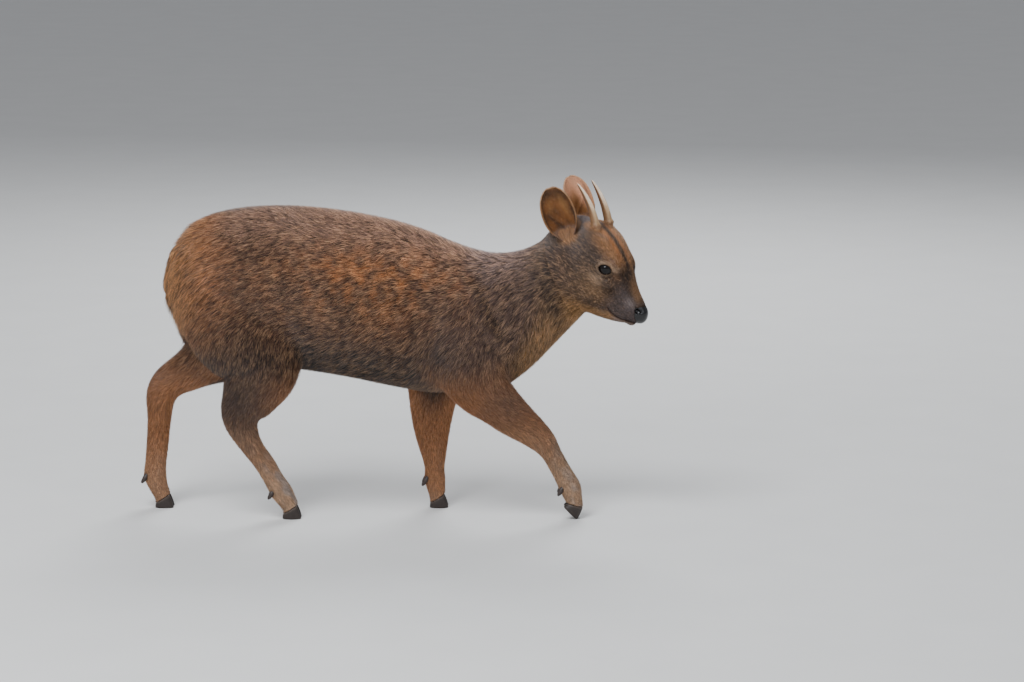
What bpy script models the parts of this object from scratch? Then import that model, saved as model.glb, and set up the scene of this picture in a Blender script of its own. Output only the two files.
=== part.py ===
"""Southern pudu buck, life size, walking: a still museum model on its four feet.

Metres, +X forward (the way the body faces), +Y the animal's left, +Z up.
The origin is on the floor, under the middle of the model's box.
The flesh is lofted from a few stations per part, fused, thinned out and parted by thin cuts.
"""

import math

import bmesh
import bpy
import numpy as np
from mathutils import Matrix, Vector

# Driving sizes
GAP = 0.0003
BODY_VOXEL = 0.0042
BODY_SMOOTH = 6
BODY_TRIANGLES = 4700
SKULL_VOXEL = 0.0026
SKULL_SMOOTH = 14
HEAD_VOXEL = 0.0013
HEAD_SMOOTH = 4
HEAD_TRIANGLES = 3100

NOSE_TIP = Vector((0.3355, -0.064, 0.287))
HEAD_YAW = math.radians(27.0)
HEAD_PITCH = math.radians(44.0)
NOSE_PAD = Vector((-0.0062, 0.0, -0.0077))
NOSE_PAD_RADII = (0.0096, 0.0113, 0.0137)
NOSE_PAD_TILT = math.radians(-44.0)
NOSE_REACH = 0.0019

EYE_RADIUS = 0.0112
EYE_PLACE = Vector((-0.0790, 0.0225, 0.0085))
EYE_SEGMENTS = 15
LID_THICKNESS = 0.0016
LID_TILT = math.radians(-26.0)

NOSTRIL_PLACE = Vector((-0.0073, 0.0103, -0.0035))
MOUTH_WIDTH = 0.0012

ANTLER_ROOT = Vector((-0.1282, 0.0195, 0.0345))
ANTLER_LENGTH = 0.0645
ANTLER_SPREAD = 0.03
ANTLER_RADIUS = 0.0056
ANTLER_LEAN = math.radians(54.0)
ANTLER_BEND = math.radians(30.0)
ANTLER_SUNK = 0.006
PEDICLE_RADIUS = 0.0092

EAR_LENGTH = 0.0605
EAR_THICKNESS = 0.0022
EAR_SUNK = {1: 0.006, -1: 0.014}
EAR_PLACE = {1: Vector((-0.1584, 0.0289, 0.0011)), -1: Vector((-0.1553, 0.0311, 0.0039))}

# The ear's rows, root to tip: share of its length, radius of the cup, half angle of the cup
EAR_ROWS = (
    (0.00, 0.0092, 125), (0.12, 0.0126, 116), (0.25, 0.0177, 94), (0.40, 0.0221, 75),
    (0.56, 0.0251, 62), (0.70, 0.0268, 52), (0.82, 0.0277, 42), (0.91, 0.0272, 32),
    (0.97, 0.0260, 21), (1.00, 0.0260, 9),
)
# Which way each ear stands and which way its cup opens, in the head's own frame
EAR_AXIS = {1: Vector((-0.726, -0.312, 0.612)), -1: Vector((-0.800, -0.317, 0.509))}
EAR_OPENS = {1: Vector((0.686, -0.384, 0.618)), -1: Vector((0.465, -0.864, 0.192))}

CORONET = 0.0125
CORONET_SLANT = 0.6
CLAW_HALF_WIDTH = 0.0062
CLEFT = 0.0016
DEWCLAW_LENGTH = 0.011
DEWCLAW_RADIUS = 0.0036

TAIL_TOP = Vector((-0.3070, 0.0, 0.3560))
TAIL_TIP = Vector((-0.3185, 0.0, 0.3020))
TAIL_HALF_WIDTH = 0.0115
TAIL_HALF_DEPTH = 0.0060

# Trunk and neck stations, rump to throat: top x, top z, bottom x, bottom z, half width,
# sideways place, turn in degrees, and how much wider the section is below than above
TRUNK = (
    (-0.3140, 0.3380, -0.3130, 0.3000, 0.014, 0.000, 0, 0.00),
    (-0.3060, 0.3700, -0.3050, 0.2640, 0.039, 0.000, 0, 0.00),
    (-0.2790, 0.4025, -0.2790, 0.2340, 0.060, 0.000, 0, 0.00),
    (-0.2260, 0.4200, -0.2220, 0.2120, 0.075, 0.000, 0, 0.02),
    (-0.1576, 0.4250, -0.1450, 0.2010, 0.080, 0.000, 0, 0.06),
    (-0.0822, 0.4195, -0.0712, 0.1890, 0.083, 0.000, 0, 0.08),
    (-0.0137, 0.4070, -0.0068, 0.1755, 0.080, 0.000, 0, 0.10),
    (0.0343, 0.3930, 0.0438, 0.1670, 0.073, 0.000, 0, 0.12),
    (0.0754, 0.3755, 0.1000, 0.1650, 0.066, 0.000, 0, 0.12),
    (0.1096, 0.3645, 0.1440, 0.1760, 0.059, -0.001, 3, 0.08),
    (0.1397, 0.3610, 0.1800, 0.2010, 0.052, -0.004, 7, 0.04),
    (0.1699, 0.3670, 0.2110, 0.2340, 0.046, -0.009, 12, 0.00),
    (0.1960, 0.3800, 0.2340, 0.2600, 0.042, -0.016, 18, 0.00),
    (0.2180, 0.3885, 0.2520, 0.2820, 0.036, -0.023, 24, 0.00),
    (0.2320, 0.3810, 0.2560, 0.3030, 0.026, -0.027, 27, 0.00),
    (0.2440, 0.3710, 0.2570, 0.3250, 0.013, -0.030, 27, 0.00),
)
NECK_FROM = 9

# Leg stations, hip or shoulder to coronet: x, sideways place, z, half depth, half width
HIND_RIGHT = (
    (-0.2440, -0.034, 0.3200, 0.062, 0.034),
    (-0.2200, -0.042, 0.2670, 0.068, 0.040),
    (-0.1840, -0.046, 0.2160, 0.056, 0.034),
    (-0.1990, -0.045, 0.1740, 0.0410, 0.0255),
    (-0.2120, -0.043, 0.1470, 0.0300, 0.0190),
    (-0.2115, -0.041, 0.1270, 0.0222, 0.0165),
    (-0.1990, -0.039, 0.1000, 0.0158, 0.0128),
    (-0.1825, -0.037, 0.0765, 0.0146, 0.0120),
    (-0.1690, -0.036, 0.0520, 0.0140, 0.0125),
    (-0.1600, -0.035, 0.0365, 0.0154, 0.0148),
    (-0.1520, -0.035, 0.0235, 0.0130, 0.0138),
    (-0.1470, -0.035, 0.0130, 0.0112, 0.0128),
    (-0.1480, -0.035, -0.0060, 0.0108, 0.0126),
)
HIND_LEFT = (
    (-0.2500, 0.034, 0.3200, 0.060, 0.034),
    (-0.2480, 0.042, 0.2620, 0.060, 0.040),
    (-0.2460, 0.046, 0.2200, 0.047, 0.034),
    (-0.2850, 0.045, 0.1930, 0.0320, 0.0240),
    (-0.3150, 0.043, 0.1755, 0.0250, 0.0185),
    (-0.3285, 0.041, 0.1550, 0.0215, 0.0164),
    (-0.3310, 0.039, 0.1240, 0.0172, 0.0132),
    (-0.3340, 0.037, 0.0890, 0.0160, 0.0122),
    (-0.3370, 0.036, 0.0610, 0.0150, 0.0126),
    (-0.3380, 0.035, 0.0440, 0.0158, 0.0148),
    (-0.3330, 0.035, 0.0270, 0.0130, 0.0138),
    (-0.3270, 0.035, 0.0130, 0.0112, 0.0128),
    (-0.3280, 0.035, -0.0060, 0.0108, 0.0126),
)
FORE_RIGHT = (
    (0.0550, -0.036, 0.3050, 0.050, 0.030),
    (0.0760, -0.042, 0.2420, 0.050, 0.034),
    (0.1100, -0.045, 0.1850, 0.0430, 0.0270),
    (0.1315, -0.044, 0.1625, 0.0335, 0.0220),
    (0.1550, -0.042, 0.1410, 0.0280, 0.0185),
    (0.1785, -0.040, 0.1222, 0.0225, 0.0165),
    (0.1960, -0.038, 0.1060, 0.0182, 0.0158),
    (0.2075, -0.037, 0.0890, 0.0142, 0.0128),
    (0.2178, -0.036, 0.0700, 0.0138, 0.0120),
    (0.2260, -0.036, 0.0550, 0.0143, 0.0130),
    (0.2328, -0.036, 0.0415, 0.0152, 0.0146),
    (0.2365, -0.036, 0.0290, 0.0126, 0.0132),
    (0.2390, -0.036, 0.0170, 0.0112, 0.0126),
    (0.2400, -0.036, 0.0020, 0.0108, 0.0126),
)
FORE_LEFT = (
    (0.0500, 0.036, 0.3050, 0.050, 0.030),
    (0.0490, 0.042, 0.2350, 0.046, 0.034),
    (0.0460, 0.044, 0.1680, 0.0370, 0.0265),
    (0.0435, 0.043, 0.1340, 0.0308, 0.0215),
    (0.0435, 0.041, 0.1040, 0.0250, 0.0180),
    (0.0455, 0.039, 0.0780, 0.0190, 0.0158),
    (0.0470, 0.037, 0.0550, 0.0140, 0.0125),
    (0.0470, 0.036, 0.0400, 0.0150, 0.0146),
    (0.0490, 0.035, 0.0265, 0.0128, 0.0136),
    (0.0510, 0.035, 0.0130, 0.0112, 0.0128),
    (0.0510, 0.035, -0.0060, 0.0108, 0.0126),
)
LEG_SWELL = 0.0008

# Where the flesh is parted: a point on each plane and the way it faces
HEAD_FROM_NECK = ((0.222, -0.020, 0.335), (0.87, -0.32, 0.37))
NECK_FROM_TORSO = ((0.1233, 0.0, 0.274), (0.95, 0.0, 0.31))

# Each leg: its stations, its side, the outline in side view of the block that parts it from
# the trunk (x, z, and how far from the middle that corner lies on the inside), the knee or
# hock that parts it again, and the middle of its coronet with the foot's pitch in degrees
LEGS = {
    "hindleg_right": (
        HIND_RIGHT, -1,
        ((-0.290, -0.01, 0.004), (-0.305, 0.19, 0.004), (-0.345, 0.33, 0.056),
         (-0.185, 0.33, 0.056), (-0.118, 0.19, 0.004), (-0.110, -0.01, 0.004)),
        ((-0.2115, 0.1370), (0.03, -1.0)), (-0.1475, -0.035, CORONET, 0),
    ),
    "hindleg_left": (
        HIND_LEFT, 1,
        ((-0.390, -0.01, 0.004), (-0.390, 0.19, 0.004), (-0.345, 0.33, 0.056),
         (-0.205, 0.33, 0.056), (-0.175, 0.19, 0.004), (-0.270, -0.01, 0.004)),
        ((-0.3240, 0.1640), (-0.40, -1.0)), (-0.3270, 0.035, CORONET, 0),
    ),
    "foreleg_right": (
        FORE_RIGHT, -1,
        ((0.060, -0.01, 0.004), (0.052, 0.15, 0.004), (0.035, 0.265, 0.052),
         (0.118, 0.265, 0.052), (0.262, 0.105, 0.004), (0.265, -0.01, 0.004)),
        ((0.1880, 0.1140), (0.62, -0.78)), (0.2398, -0.036, 0.0183, 45),
    ),
    "foreleg_left": (
        FORE_LEFT, 1,
        ((0.000, -0.01, 0.004), (-0.002, 0.15, 0.004), (0.002, 0.265, 0.052),
         (0.096, 0.265, 0.052), (0.106, 0.15, 0.004), (0.105, -0.01, 0.004)),
        ((0.0445, 0.0910), (0.06, -1.0)), (0.0510, 0.035, CORONET, 0),
    ),
}
FLANK = 0.14

# Head stations in the head's own frame, nose to nape: place behind the nose tip, top,
# bottom, half width, how high the widest level lies, and how square the section is
HEAD = (
    (-0.0035, -0.0010, -0.0200, 0.0082, 0.10, 2.3),
    (-0.0080, 0.0038, -0.0298, 0.0128, 0.00, 2.4),
    (-0.0180, 0.0074, -0.0395, 0.0150, 0.05, 2.4),
    (-0.0330, 0.0125, -0.0508, 0.0174, 0.15, 2.3),
    (-0.0520, 0.0210, -0.0617, 0.0225, 0.25, 2.6),
    (-0.0720, 0.0315, -0.0706, 0.0290, 0.30, 3.0),
    (-0.0920, 0.0375, -0.0732, 0.0335, 0.35, 3.1),
    (-0.1120, 0.0400, -0.0698, 0.0360, 0.35, 3.1),
    (-0.1320, 0.0365, -0.0600, 0.0360, 0.25, 2.6),
    (-0.1520, 0.0230, -0.0500, 0.0335, 0.00, 2.0),
    (-0.1720, 0.0080, -0.0420, 0.0280, 0.00, 2.0),
)

# Colour, roughness and metallic value of each finish
FINISHES = {
    "coat_brown": ((0.165, 0.088, 0.048), 0.80, 0.0),
    "coat_rufous": ((0.300, 0.125, 0.045), 0.80, 0.0),
    "ear_skin": ((0.330, 0.150, 0.075), 0.60, 0.0),
    "nose_black": ((0.016, 0.015, 0.017), 0.25, 0.0),
    "eye_dark": ((0.008, 0.006, 0.006), 0.05, 0.0),
    "antler": ((0.620, 0.470, 0.310), 0.45, 0.0),
    "hoof": ((0.030, 0.024, 0.022), 0.40, 0.0),
}

parts = None
workshop = None


def clear_scene():
    """Empties the file and makes the two collections."""
    global parts, workshop
    for thing in list(bpy.data.objects):
        bpy.data.objects.remove(thing)
    parts = bpy.data.collections.new("southern_pudu")
    workshop = bpy.data.collections.new("cutters")
    bpy.context.scene.collection.children.link(parts)
    bpy.context.scene.collection.children.link(workshop)


def finish(name):
    """The Principled material of one finish, made once."""
    if name in bpy.data.materials:
        return bpy.data.materials[name]
    colour, roughness, metallic = FINISHES[name]
    material = bpy.data.materials.new(name)
    material.use_nodes = True
    shader = material.node_tree.nodes["Principled BSDF"]
    shader.inputs["Base Color"].default_value = (*colour, 1.0)
    shader.inputs["Roughness"].default_value = roughness
    shader.inputs["Metallic"].default_value = metallic
    return material


def mesh_object(name, mesh, collection):
    """An object of that mesh in that collection."""
    thing = bpy.data.objects.new(name, mesh)
    collection.objects.link(thing)
    if collection is workshop:
        thing.hide_render = True
        thing.display_type = "WIRE"
    return thing


def smooth_rows(table, count):
    """The rows of a table read at `count` places along a smooth curve through them."""
    rows = np.array(table, float)
    rows = np.vstack([2 * rows[0] - rows[1], rows, 2 * rows[-1] - rows[-2]])
    place = np.linspace(0, len(table) - 1, count)
    first = np.minimum(place.astype(int), len(table) - 2)
    t = (place - first)[:, None]
    a, b, c, d = (rows[first + k] for k in range(4))
    bend = 2 * a - 5 * b + 4 * c - d
    twist = 3 * b - a - 3 * c + d
    return 0.5 * (2 * b + (c - a) * t + bend * t**2 + twist * t**3)


def loft(name, rings):
    """A closed mesh through rings of points, with a fan of faces over each end."""
    rings = np.asarray(rings, float)
    count, sides, _ = rings.shape
    form = bmesh.new()
    grid = [[form.verts.new(point) for point in ring] for ring in rings]
    for lower, upper in zip(grid, grid[1:]):
        for k in range(sides):
            m = (k + 1) % sides
            form.faces.new((lower[k], lower[m], upper[m], upper[k]))
    for ring, row in ((rings[0], grid[0]), (rings[-1], grid[-1])):
        middle = form.verts.new(ring.mean(axis=0))
        for k in range(sides):
            form.faces.new((row[k], row[(k + 1) % sides], middle))
    bmesh.ops.recalc_face_normals(form, faces=form.faces)
    mesh = bpy.data.meshes.new(name)
    form.to_mesh(mesh)
    form.free()
    return mesh_object(name, mesh, workshop)


def power(value, exponent):
    """A signed power, for sections squarer than an ellipse."""
    return np.sign(value) * np.abs(value) ** exponent


def trunk_rings(table, count=56, sides=40):
    """Rings of the trunk and neck, in planes through each station's top and bottom."""
    turn = np.linspace(0, 2 * math.pi, sides, endpoint=False)
    rings = []
    for top_x, top_z, low_x, low_z, half, aside, yaw, heavy in smooth_rows(table, count):
        middle = np.array([(top_x + low_x) / 2, aside, (top_z + low_z) / 2])
        up = np.array([(top_x - low_x) / 2, 0.0, (top_z - low_z) / 2])
        across = np.array([math.sin(math.radians(yaw)), math.cos(math.radians(yaw)), 0.0])
        high = power(np.sin(turn), 0.94)
        wide = power(np.cos(turn), 0.94) * half * (1 - heavy * high)
        rings.append(middle + np.outer(high, up) + np.outer(wide, across))
    return rings


def leg_rings(table, count=48, sides=24, grow=0.0):
    """Rings of a leg, square to its line in the side view."""
    rows = smooth_rows(table, count)
    run = np.gradient(rows[:, [0, 2]], axis=0)
    run = run / np.linalg.norm(run, axis=1)[:, None]
    turn = np.linspace(0, 2 * math.pi, sides, endpoint=False)
    rings = []
    for (x, y, z, depth, width), (run_x, run_z) in zip(rows, run):
        forward = np.array([-run_z, 0.0, run_x]) * (depth + grow)
        across = np.array([0.0, 1.0, 0.0]) * (width + grow)
        ring = np.outer(np.cos(turn), forward) + np.outer(np.sin(turn), across)
        rings.append(np.array([x, y, z]) + ring)
    return rings


def head_matrix():
    """Places the head's own frame, with its origin at the nose tip, in the model."""
    turn = Matrix.Rotation(-HEAD_YAW, 4, "Z") @ Matrix.Rotation(HEAD_PITCH, 4, "Y")
    return Matrix.Translation(NOSE_TIP) @ turn


def head_rings(table, count=44, sides=32):
    """Rings of the head in its own frame, widest at or above half height."""
    turn = np.linspace(0, 2 * math.pi, sides, endpoint=False)
    rings = []
    for back, top, low, half, lift, square in smooth_rows(table, count):
        high = power(np.sin(turn), 2 / square)
        wide = power(np.cos(turn), 2 / square)
        shift = lift * (1 - high**2)
        z = (top + low) / 2 + (high + shift) * (top - low) / 2
        x = np.full(sides, back)
        rings.append(np.stack([x, wide * half, z], axis=1))
    return rings


def ellipsoid(name, place, radii, turn=None, segments=24, rings=16):
    """A ball of three radii at a place, turned by a matrix."""
    form = bmesh.new()
    bmesh.ops.create_uvsphere(form, u_segments=segments, v_segments=rings, radius=1.0)
    mesh = bpy.data.meshes.new(name)
    form.to_mesh(mesh)
    form.free()
    turned = (turn or Matrix.Identity(4)).to_4x4()
    mesh.transform(Matrix.Translation(place) @ turned @ Matrix.Diagonal((*radii, 1.0)))
    return mesh_object(name, mesh, workshop)


def box(name, low, high):
    """A box between two corners."""
    form = bmesh.new()
    bmesh.ops.create_cube(form, size=1.0)
    mesh = bpy.data.meshes.new(name)
    form.to_mesh(mesh)
    form.free()
    low, high = Vector(low), Vector(high)
    size = high - low
    mesh.transform(Matrix.Translation((low + high) / 2) @ Matrix.Diagonal((*size, 1.0)))
    return mesh_object(name, mesh, workshop)


def settled(thing):
    """The object with its modifiers applied and its place taken into its mesh."""
    depsgraph = bpy.context.evaluated_depsgraph_get()
    depsgraph.update()
    mesh = bpy.data.meshes.new_from_object(thing.evaluated_get(depsgraph))
    mesh.transform(thing.matrix_world)
    thing.modifiers.clear()
    thing.data = mesh
    thing.matrix_world = Matrix.Identity(4)
    return thing


def joined(name, things):
    """One object that holds several closed meshes, which the remesh then fuses."""
    form = bmesh.new()
    for thing in things:
        thing.data.transform(thing.matrix_world)
        form.from_mesh(thing.data)
        bpy.data.objects.remove(thing)
    mesh = bpy.data.meshes.new(name)
    form.to_mesh(mesh)
    form.free()
    return mesh_object(name, mesh, workshop)


def fused(thing, voxel, rounds, triangles=None):
    """The pieces as one skin: remeshed, smoothed, and thinned to so many triangles."""
    remesh = thing.modifiers.new("fuse", "REMESH")
    remesh.mode = "VOXEL"
    remesh.voxel_size = voxel
    soft = thing.modifiers.new("soft", "SMOOTH")
    soft.factor = 0.5
    soft.iterations = rounds
    settled(thing)
    if triangles is None:
        return thing
    form = bmesh.new()
    form.from_mesh(thing.data)
    bmesh.ops.triangulate(form, faces=form.faces)
    form.to_mesh(thing.data)
    form.free()
    thin = thing.modifiers.new("thin", "DECIMATE")
    thin.ratio = min(1.0, triangles / len(thing.data.polygons))
    return settled(thing)


def boolean(thing, other, operation):
    """Cuts, joins or keeps with another mesh, and applies it."""
    step = thing.modifiers.new("boolean", "BOOLEAN")
    step.operation = operation
    step.solver = "EXACT"
    step.object = other
    return settled(thing)


def copied(thing, name):
    """A second object with its own copy of the mesh."""
    return mesh_object(name, thing.data.copy(), workshop)


def largest_body(thing):
    """Keeps the largest closed surface of a mesh and drops loose scraps."""
    form = bmesh.new()
    form.from_mesh(thing.data)
    left = set(form.verts)
    bodies = []
    while left:
        seed = left.pop()
        body, edge = {seed}, [seed]
        while edge:
            vert = edge.pop()
            for link in vert.link_edges:
                other = link.other_vert(vert)
                if other not in body:
                    body.add(other)
                    edge.append(other)
        left -= body
        bodies.append(body)
    keep = max(bodies, key=len)
    loose = [vert for vert in form.verts if vert not in keep]
    bmesh.ops.delete(form, geom=loose, context="VERTS")
    form.to_mesh(thing.data)
    form.free()
    return thing


def half_space(name, point, normal, reach=0.8):
    """A box whose one face lies in a plane and which fills the side that the normal leaves."""
    normal = Vector(normal).normalized()
    block = box(name, (-reach, -reach, -2 * reach), (reach, reach, 0.0))
    turn = normal.to_track_quat("Z", "Y").to_matrix().to_4x4()
    block.data.transform(Matrix.Translation(point) @ turn)
    return block


def split(thing, point, normal, front_name):
    """Parts a mesh by a thin plane cut and returns the piece in front as a new object."""
    normal = Vector(normal).normalized()
    point = Vector(point)
    front = copied(thing, front_name)
    behind = half_space("behind", point - normal * GAP / 2, normal)
    ahead = half_space("ahead", point + normal * GAP / 2, -normal)
    boolean(thing, behind, "INTERSECT")
    boolean(front, ahead, "INTERSECT")
    bpy.data.objects.remove(behind)
    bpy.data.objects.remove(ahead)
    largest_body(thing)
    return largest_body(front)


def wedge(name, corners, grow=0.0):
    """The convex block round some corners, grown a little on every side."""
    form = bmesh.new()
    for corner in corners:
        form.verts.new(corner)
    hull = bmesh.ops.convex_hull(form, input=form.verts)
    spare = [g for g in hull["geom_unused"] + hull["geom_interior"]]
    bmesh.ops.delete(form, geom=list(set(spare)), context="VERTS")
    bmesh.ops.recalc_face_normals(form, faces=form.faces)
    form.normal_update()
    if grow:
        shifts = {vert: vert.normal * vert.calc_shell_factor() * grow for vert in form.verts}
        for vert, shift in shifts.items():
            vert.co += shift
    mesh = bpy.data.meshes.new(name)
    form.to_mesh(mesh)
    form.free()
    return mesh_object(name, mesh, workshop)


def carve(thing, corners, name):
    """Parts off what lies in a convex block, and returns it as a new object."""
    piece = copied(thing, name)
    inner = wedge("inner", corners)
    outer = wedge("outer", corners, GAP)
    boolean(piece, inner, "INTERSECT")
    boolean(thing, outer, "DIFFERENCE")
    bpy.data.objects.remove(inner)
    bpy.data.objects.remove(outer)
    largest_body(thing)
    return largest_body(piece)


def let_in(thing, *cutters):
    """Cuts closed meshes out of a mesh."""
    for cutter in cutters:
        boolean(thing, cutter, "DIFFERENCE")
        bpy.data.objects.remove(cutter)
    return largest_body(thing)


def grown(thing, by=1.3 * GAP):
    """A copy that is larger by a little all round."""
    copy = copied(thing, "grown")
    swell = copy.modifiers.new("swell", "DISPLACE")
    swell.mid_level = 0.0
    swell.strength = by
    return settled(copy)


def seat(pieces, base):
    """Ends each piece just short of the surface that it stands on."""
    form = grown(base)
    for piece in pieces:
        boolean(piece, form, "DIFFERENCE")
        largest_body(piece)
    bpy.data.objects.remove(form)


def publish(thing, name, material, smooth_angle=60.0):
    """Makes a finished piece a node: its name, material, shading and collection."""
    thing.name = name
    thing.data.name = name
    thing.hide_render = False
    thing.display_type = "TEXTURED"
    thing.data.materials.clear()
    thing.data.materials.append(finish(material))
    thing.data.shade_smooth()
    thing.data.set_sharp_from_angle(angle=math.radians(smooth_angle))
    for owner in list(thing.users_collection):
        owner.objects.unlink(thing)
    parts.objects.link(thing)
    return thing


# Head

def mirrored(place, side):
    """A place in the head's frame, on the left for side 1 and on the right for side -1."""
    return Vector((place.x, place.y * side, place.z))


def in_place(things):
    """Moves meshes from the head's own frame into the model."""
    for thing in things:
        thing.data.transform(head_matrix())
    return things


def skull_forms():
    """The big forms of the head, placed in the model."""
    forms = [loft("skull", head_rings(HEAD))]
    for side in (1, -1):
        turn = Matrix.Rotation(math.radians(12.0) * side, 4, "Z")
        narrow = Matrix.Rotation(math.radians(-14.0) * side, 4, "Z")
        tip = Matrix.Rotation(math.radians(20.0), 4, "Y")
        for name, place, radii, lie in (
            ("brow", (-0.076, 0.0192, 0.0225), (0.021, 0.0105, 0.0085), turn @ tip),
            ("cheek", (-0.094, 0.0215, -0.0240), (0.046, 0.0082, 0.0310), narrow),
            ("cheekbone", (-0.082, 0.0210, -0.0060), (0.032, 0.0080, 0.0100), turn),
            ("lip_side", (-0.0260, 0.0100, -0.0215), (0.0160, 0.0072, 0.0080), turn),
            ("ear_root", (-0.1460, 0.0245, -0.0120), (0.0160, 0.0125, 0.0130), turn),
            ("ear_base", (-0.1430, 0.0295, -0.0175), (0.0180, 0.0135, 0.0145), turn),
        ):
            forms.append(ellipsoid(name, mirrored(Vector(place), side), radii, lie))
    forms.append(ellipsoid("poll", Vector((-0.1400, 0.0, 0.0140)), (0.024, 0.024, 0.0150)))
    return in_place(forms)


def nose_form(name, grow=0.0, segments=14, rings=10):
    """The blunt ball of the nose pad in the head's own frame."""
    turn = Matrix.Rotation(NOSE_PAD_TILT, 4, "Y")
    radii = [radius + grow for radius in NOSE_PAD_RADII]
    return ellipsoid(name, NOSE_PAD, radii, turn, segments, rings)


def face_forms():
    """The small forms of the head, placed in the model."""
    forms = []
    for side in (1, -1):
        lid = EYE_RADIUS + LID_THICKNESS
        for name, place, radii in (
            ("upper_lip", (-0.0130, 0.0070, -0.0165), (0.0125, 0.0070, 0.0070)),
            ("nostril_wing", (-0.0062, 0.0066, -0.0070), (0.0068, 0.0052, 0.0058)),
            ("lid", EYE_PLACE, (lid, lid, lid)),
            ("pedicle", ANTLER_ROOT + Vector((0.003, 0.0, -0.006)),
             (PEDICLE_RADIUS, PEDICLE_RADIUS, 0.0110)),
        ):
            forms.append(ellipsoid(name, mirrored(Vector(place), side), radii))
    forms.append(ellipsoid("chin", Vector((-0.0122, 0.0, -0.0258)), (0.0108, 0.0088, 0.0076)))
    forms.append(ellipsoid("front_lip", Vector((-0.0060, 0.0, -0.0205)), (0.0068, 0.0075, 0.0045)))
    forms.append(nose_form("nose"))
    return in_place(forms)


def eye_ball(side, grow=0.0):
    """The ball of one eye in the head's own frame."""
    radius = EYE_RADIUS + grow
    return ellipsoid("ball", mirrored(EYE_PLACE, side), (radius,) * 3,
                     segments=EYE_SEGMENTS, rings=EYE_SEGMENTS * 2 // 3)


def lid_opening(side):
    """The opening between the lids: a lens-shaped block that points out of the eye."""
    long_half, short_half, reach, steps = 0.0100, 0.0060, 0.03, 8
    bow = (long_half**2 + short_half**2) / (2 * short_half)
    upper = []
    for k in range(steps + 1):
        x = -long_half + 2 * long_half * k / steps
        upper.append((x, math.sqrt(bow**2 - x**2) - bow + short_half))
    outline = upper + [(x, -z * 0.85) for x, z in reversed(upper[1:-1])]
    rings = []
    for depth, size in ((0.0, 0.6), (EYE_RADIUS, 1.0), (reach, 1.9)):
        rings.append([(x * size, depth, z * size) for x, z in outline])
    block = loft("opening", rings)
    out = Matrix.Rotation(math.radians(-14.0) * side, 4, "Z")
    tilt = Matrix.Rotation(LID_TILT, 4, "Y")
    flip = Matrix.Diagonal((1.0, side, 1.0, 1.0))
    block.data.transform(Matrix.Translation(mirrored(EYE_PLACE, side)) @ out @ flip @ tilt)
    if side < 0:
        block.data.flip_normals()
    return block


def mouth_slot():
    """A thin bent slot along the line of the mouth, as deep as the lips are thick."""
    line = (
        (0.006, -0.0215), (-0.004, -0.0228), (-0.012, -0.0262), (-0.020, -0.0308),
        (-0.028, -0.0334), (-0.036, -0.0334), (-0.042, -0.0316),
    )
    outside = 0.03
    rings = []
    for x, z in smooth_rows(line, 10):
        half = MOUTH_WIDTH / 2 * min(1.0, (x + 0.052) / 0.012)
        rings.append([(x, -outside, z - half), (x, outside, z - half),
                      (x, outside, z + half), (x, -outside, z + half)])
    slot = loft("mouth", rings)
    core = []
    for x in np.linspace(0.002, -0.05, 6):
        half = min(max(0.0090 - 0.16 * (x + 0.012), 0.0015), 0.0120)
        core.append([(x, -half, -0.05), (x, half, -0.05), (x, half, 0.0), (x, -half, 0.0)])
    inside = loft("inside", core)
    boolean(slot, inside, "DIFFERENCE")
    bpy.data.objects.remove(inside)
    return slot


def nostril_pit(side):
    """A comma-shaped pit: two balls along a slanting line."""
    slant = Matrix.Rotation(math.radians(35.0) * side, 4, "X")
    turn = slant @ Matrix.Rotation(math.radians(-25.0), 4, "Y")
    at = mirrored(NOSTRIL_PLACE, side)
    behind = at + Vector((-0.0040, 0.0016 * side, 0.0024))
    return [
        ellipsoid("nostril", at, (0.0040, 0.0030, 0.0021), turn, 10, 8),
        ellipsoid("nostril_tail", behind, (0.0032, 0.0019, 0.0012), turn, 8, 6),
    ]


def antler(side, count=11, sides=12):
    """A plain spike that leans back and bends further back along its length, round a burr."""
    turn = np.linspace(0, 2 * math.pi, sides, endpoint=False)
    root = np.array(mirrored(ANTLER_ROOT, side))
    rings = []
    for s in np.linspace(-ANTLER_SUNK / ANTLER_LENGTH, 1.0, count):
        lean = ANTLER_LEAN + ANTLER_BEND * s
        x = (math.cos(lean) - math.cos(ANTLER_LEAN)) / ANTLER_BEND
        z = (math.sin(lean) - math.sin(ANTLER_LEAN)) / ANTLER_BEND
        burr = 0.0012 * math.exp(-(((s - 0.03) / 0.05) ** 2))
        taper = math.sqrt(max(0.0, 1 - max(s, 0.0) ** 2.2)) * (1 - 0.30 * max(s, 0.0))
        radius = max((ANTLER_RADIUS + burr) * taper, 0.0005)
        forward = np.array([math.cos(lean), 0.0, math.sin(lean)]) * radius * 1.06
        across = np.array([0.0, 1.0, 0.0]) * radius * 0.95
        ring = np.outer(np.cos(turn), forward) + np.outer(np.sin(turn), across)
        rings.append(root + ANTLER_LENGTH * np.array([x, ANTLER_SPREAD * side * s, z]) + ring)
    return loft("antler", rings)


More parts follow.
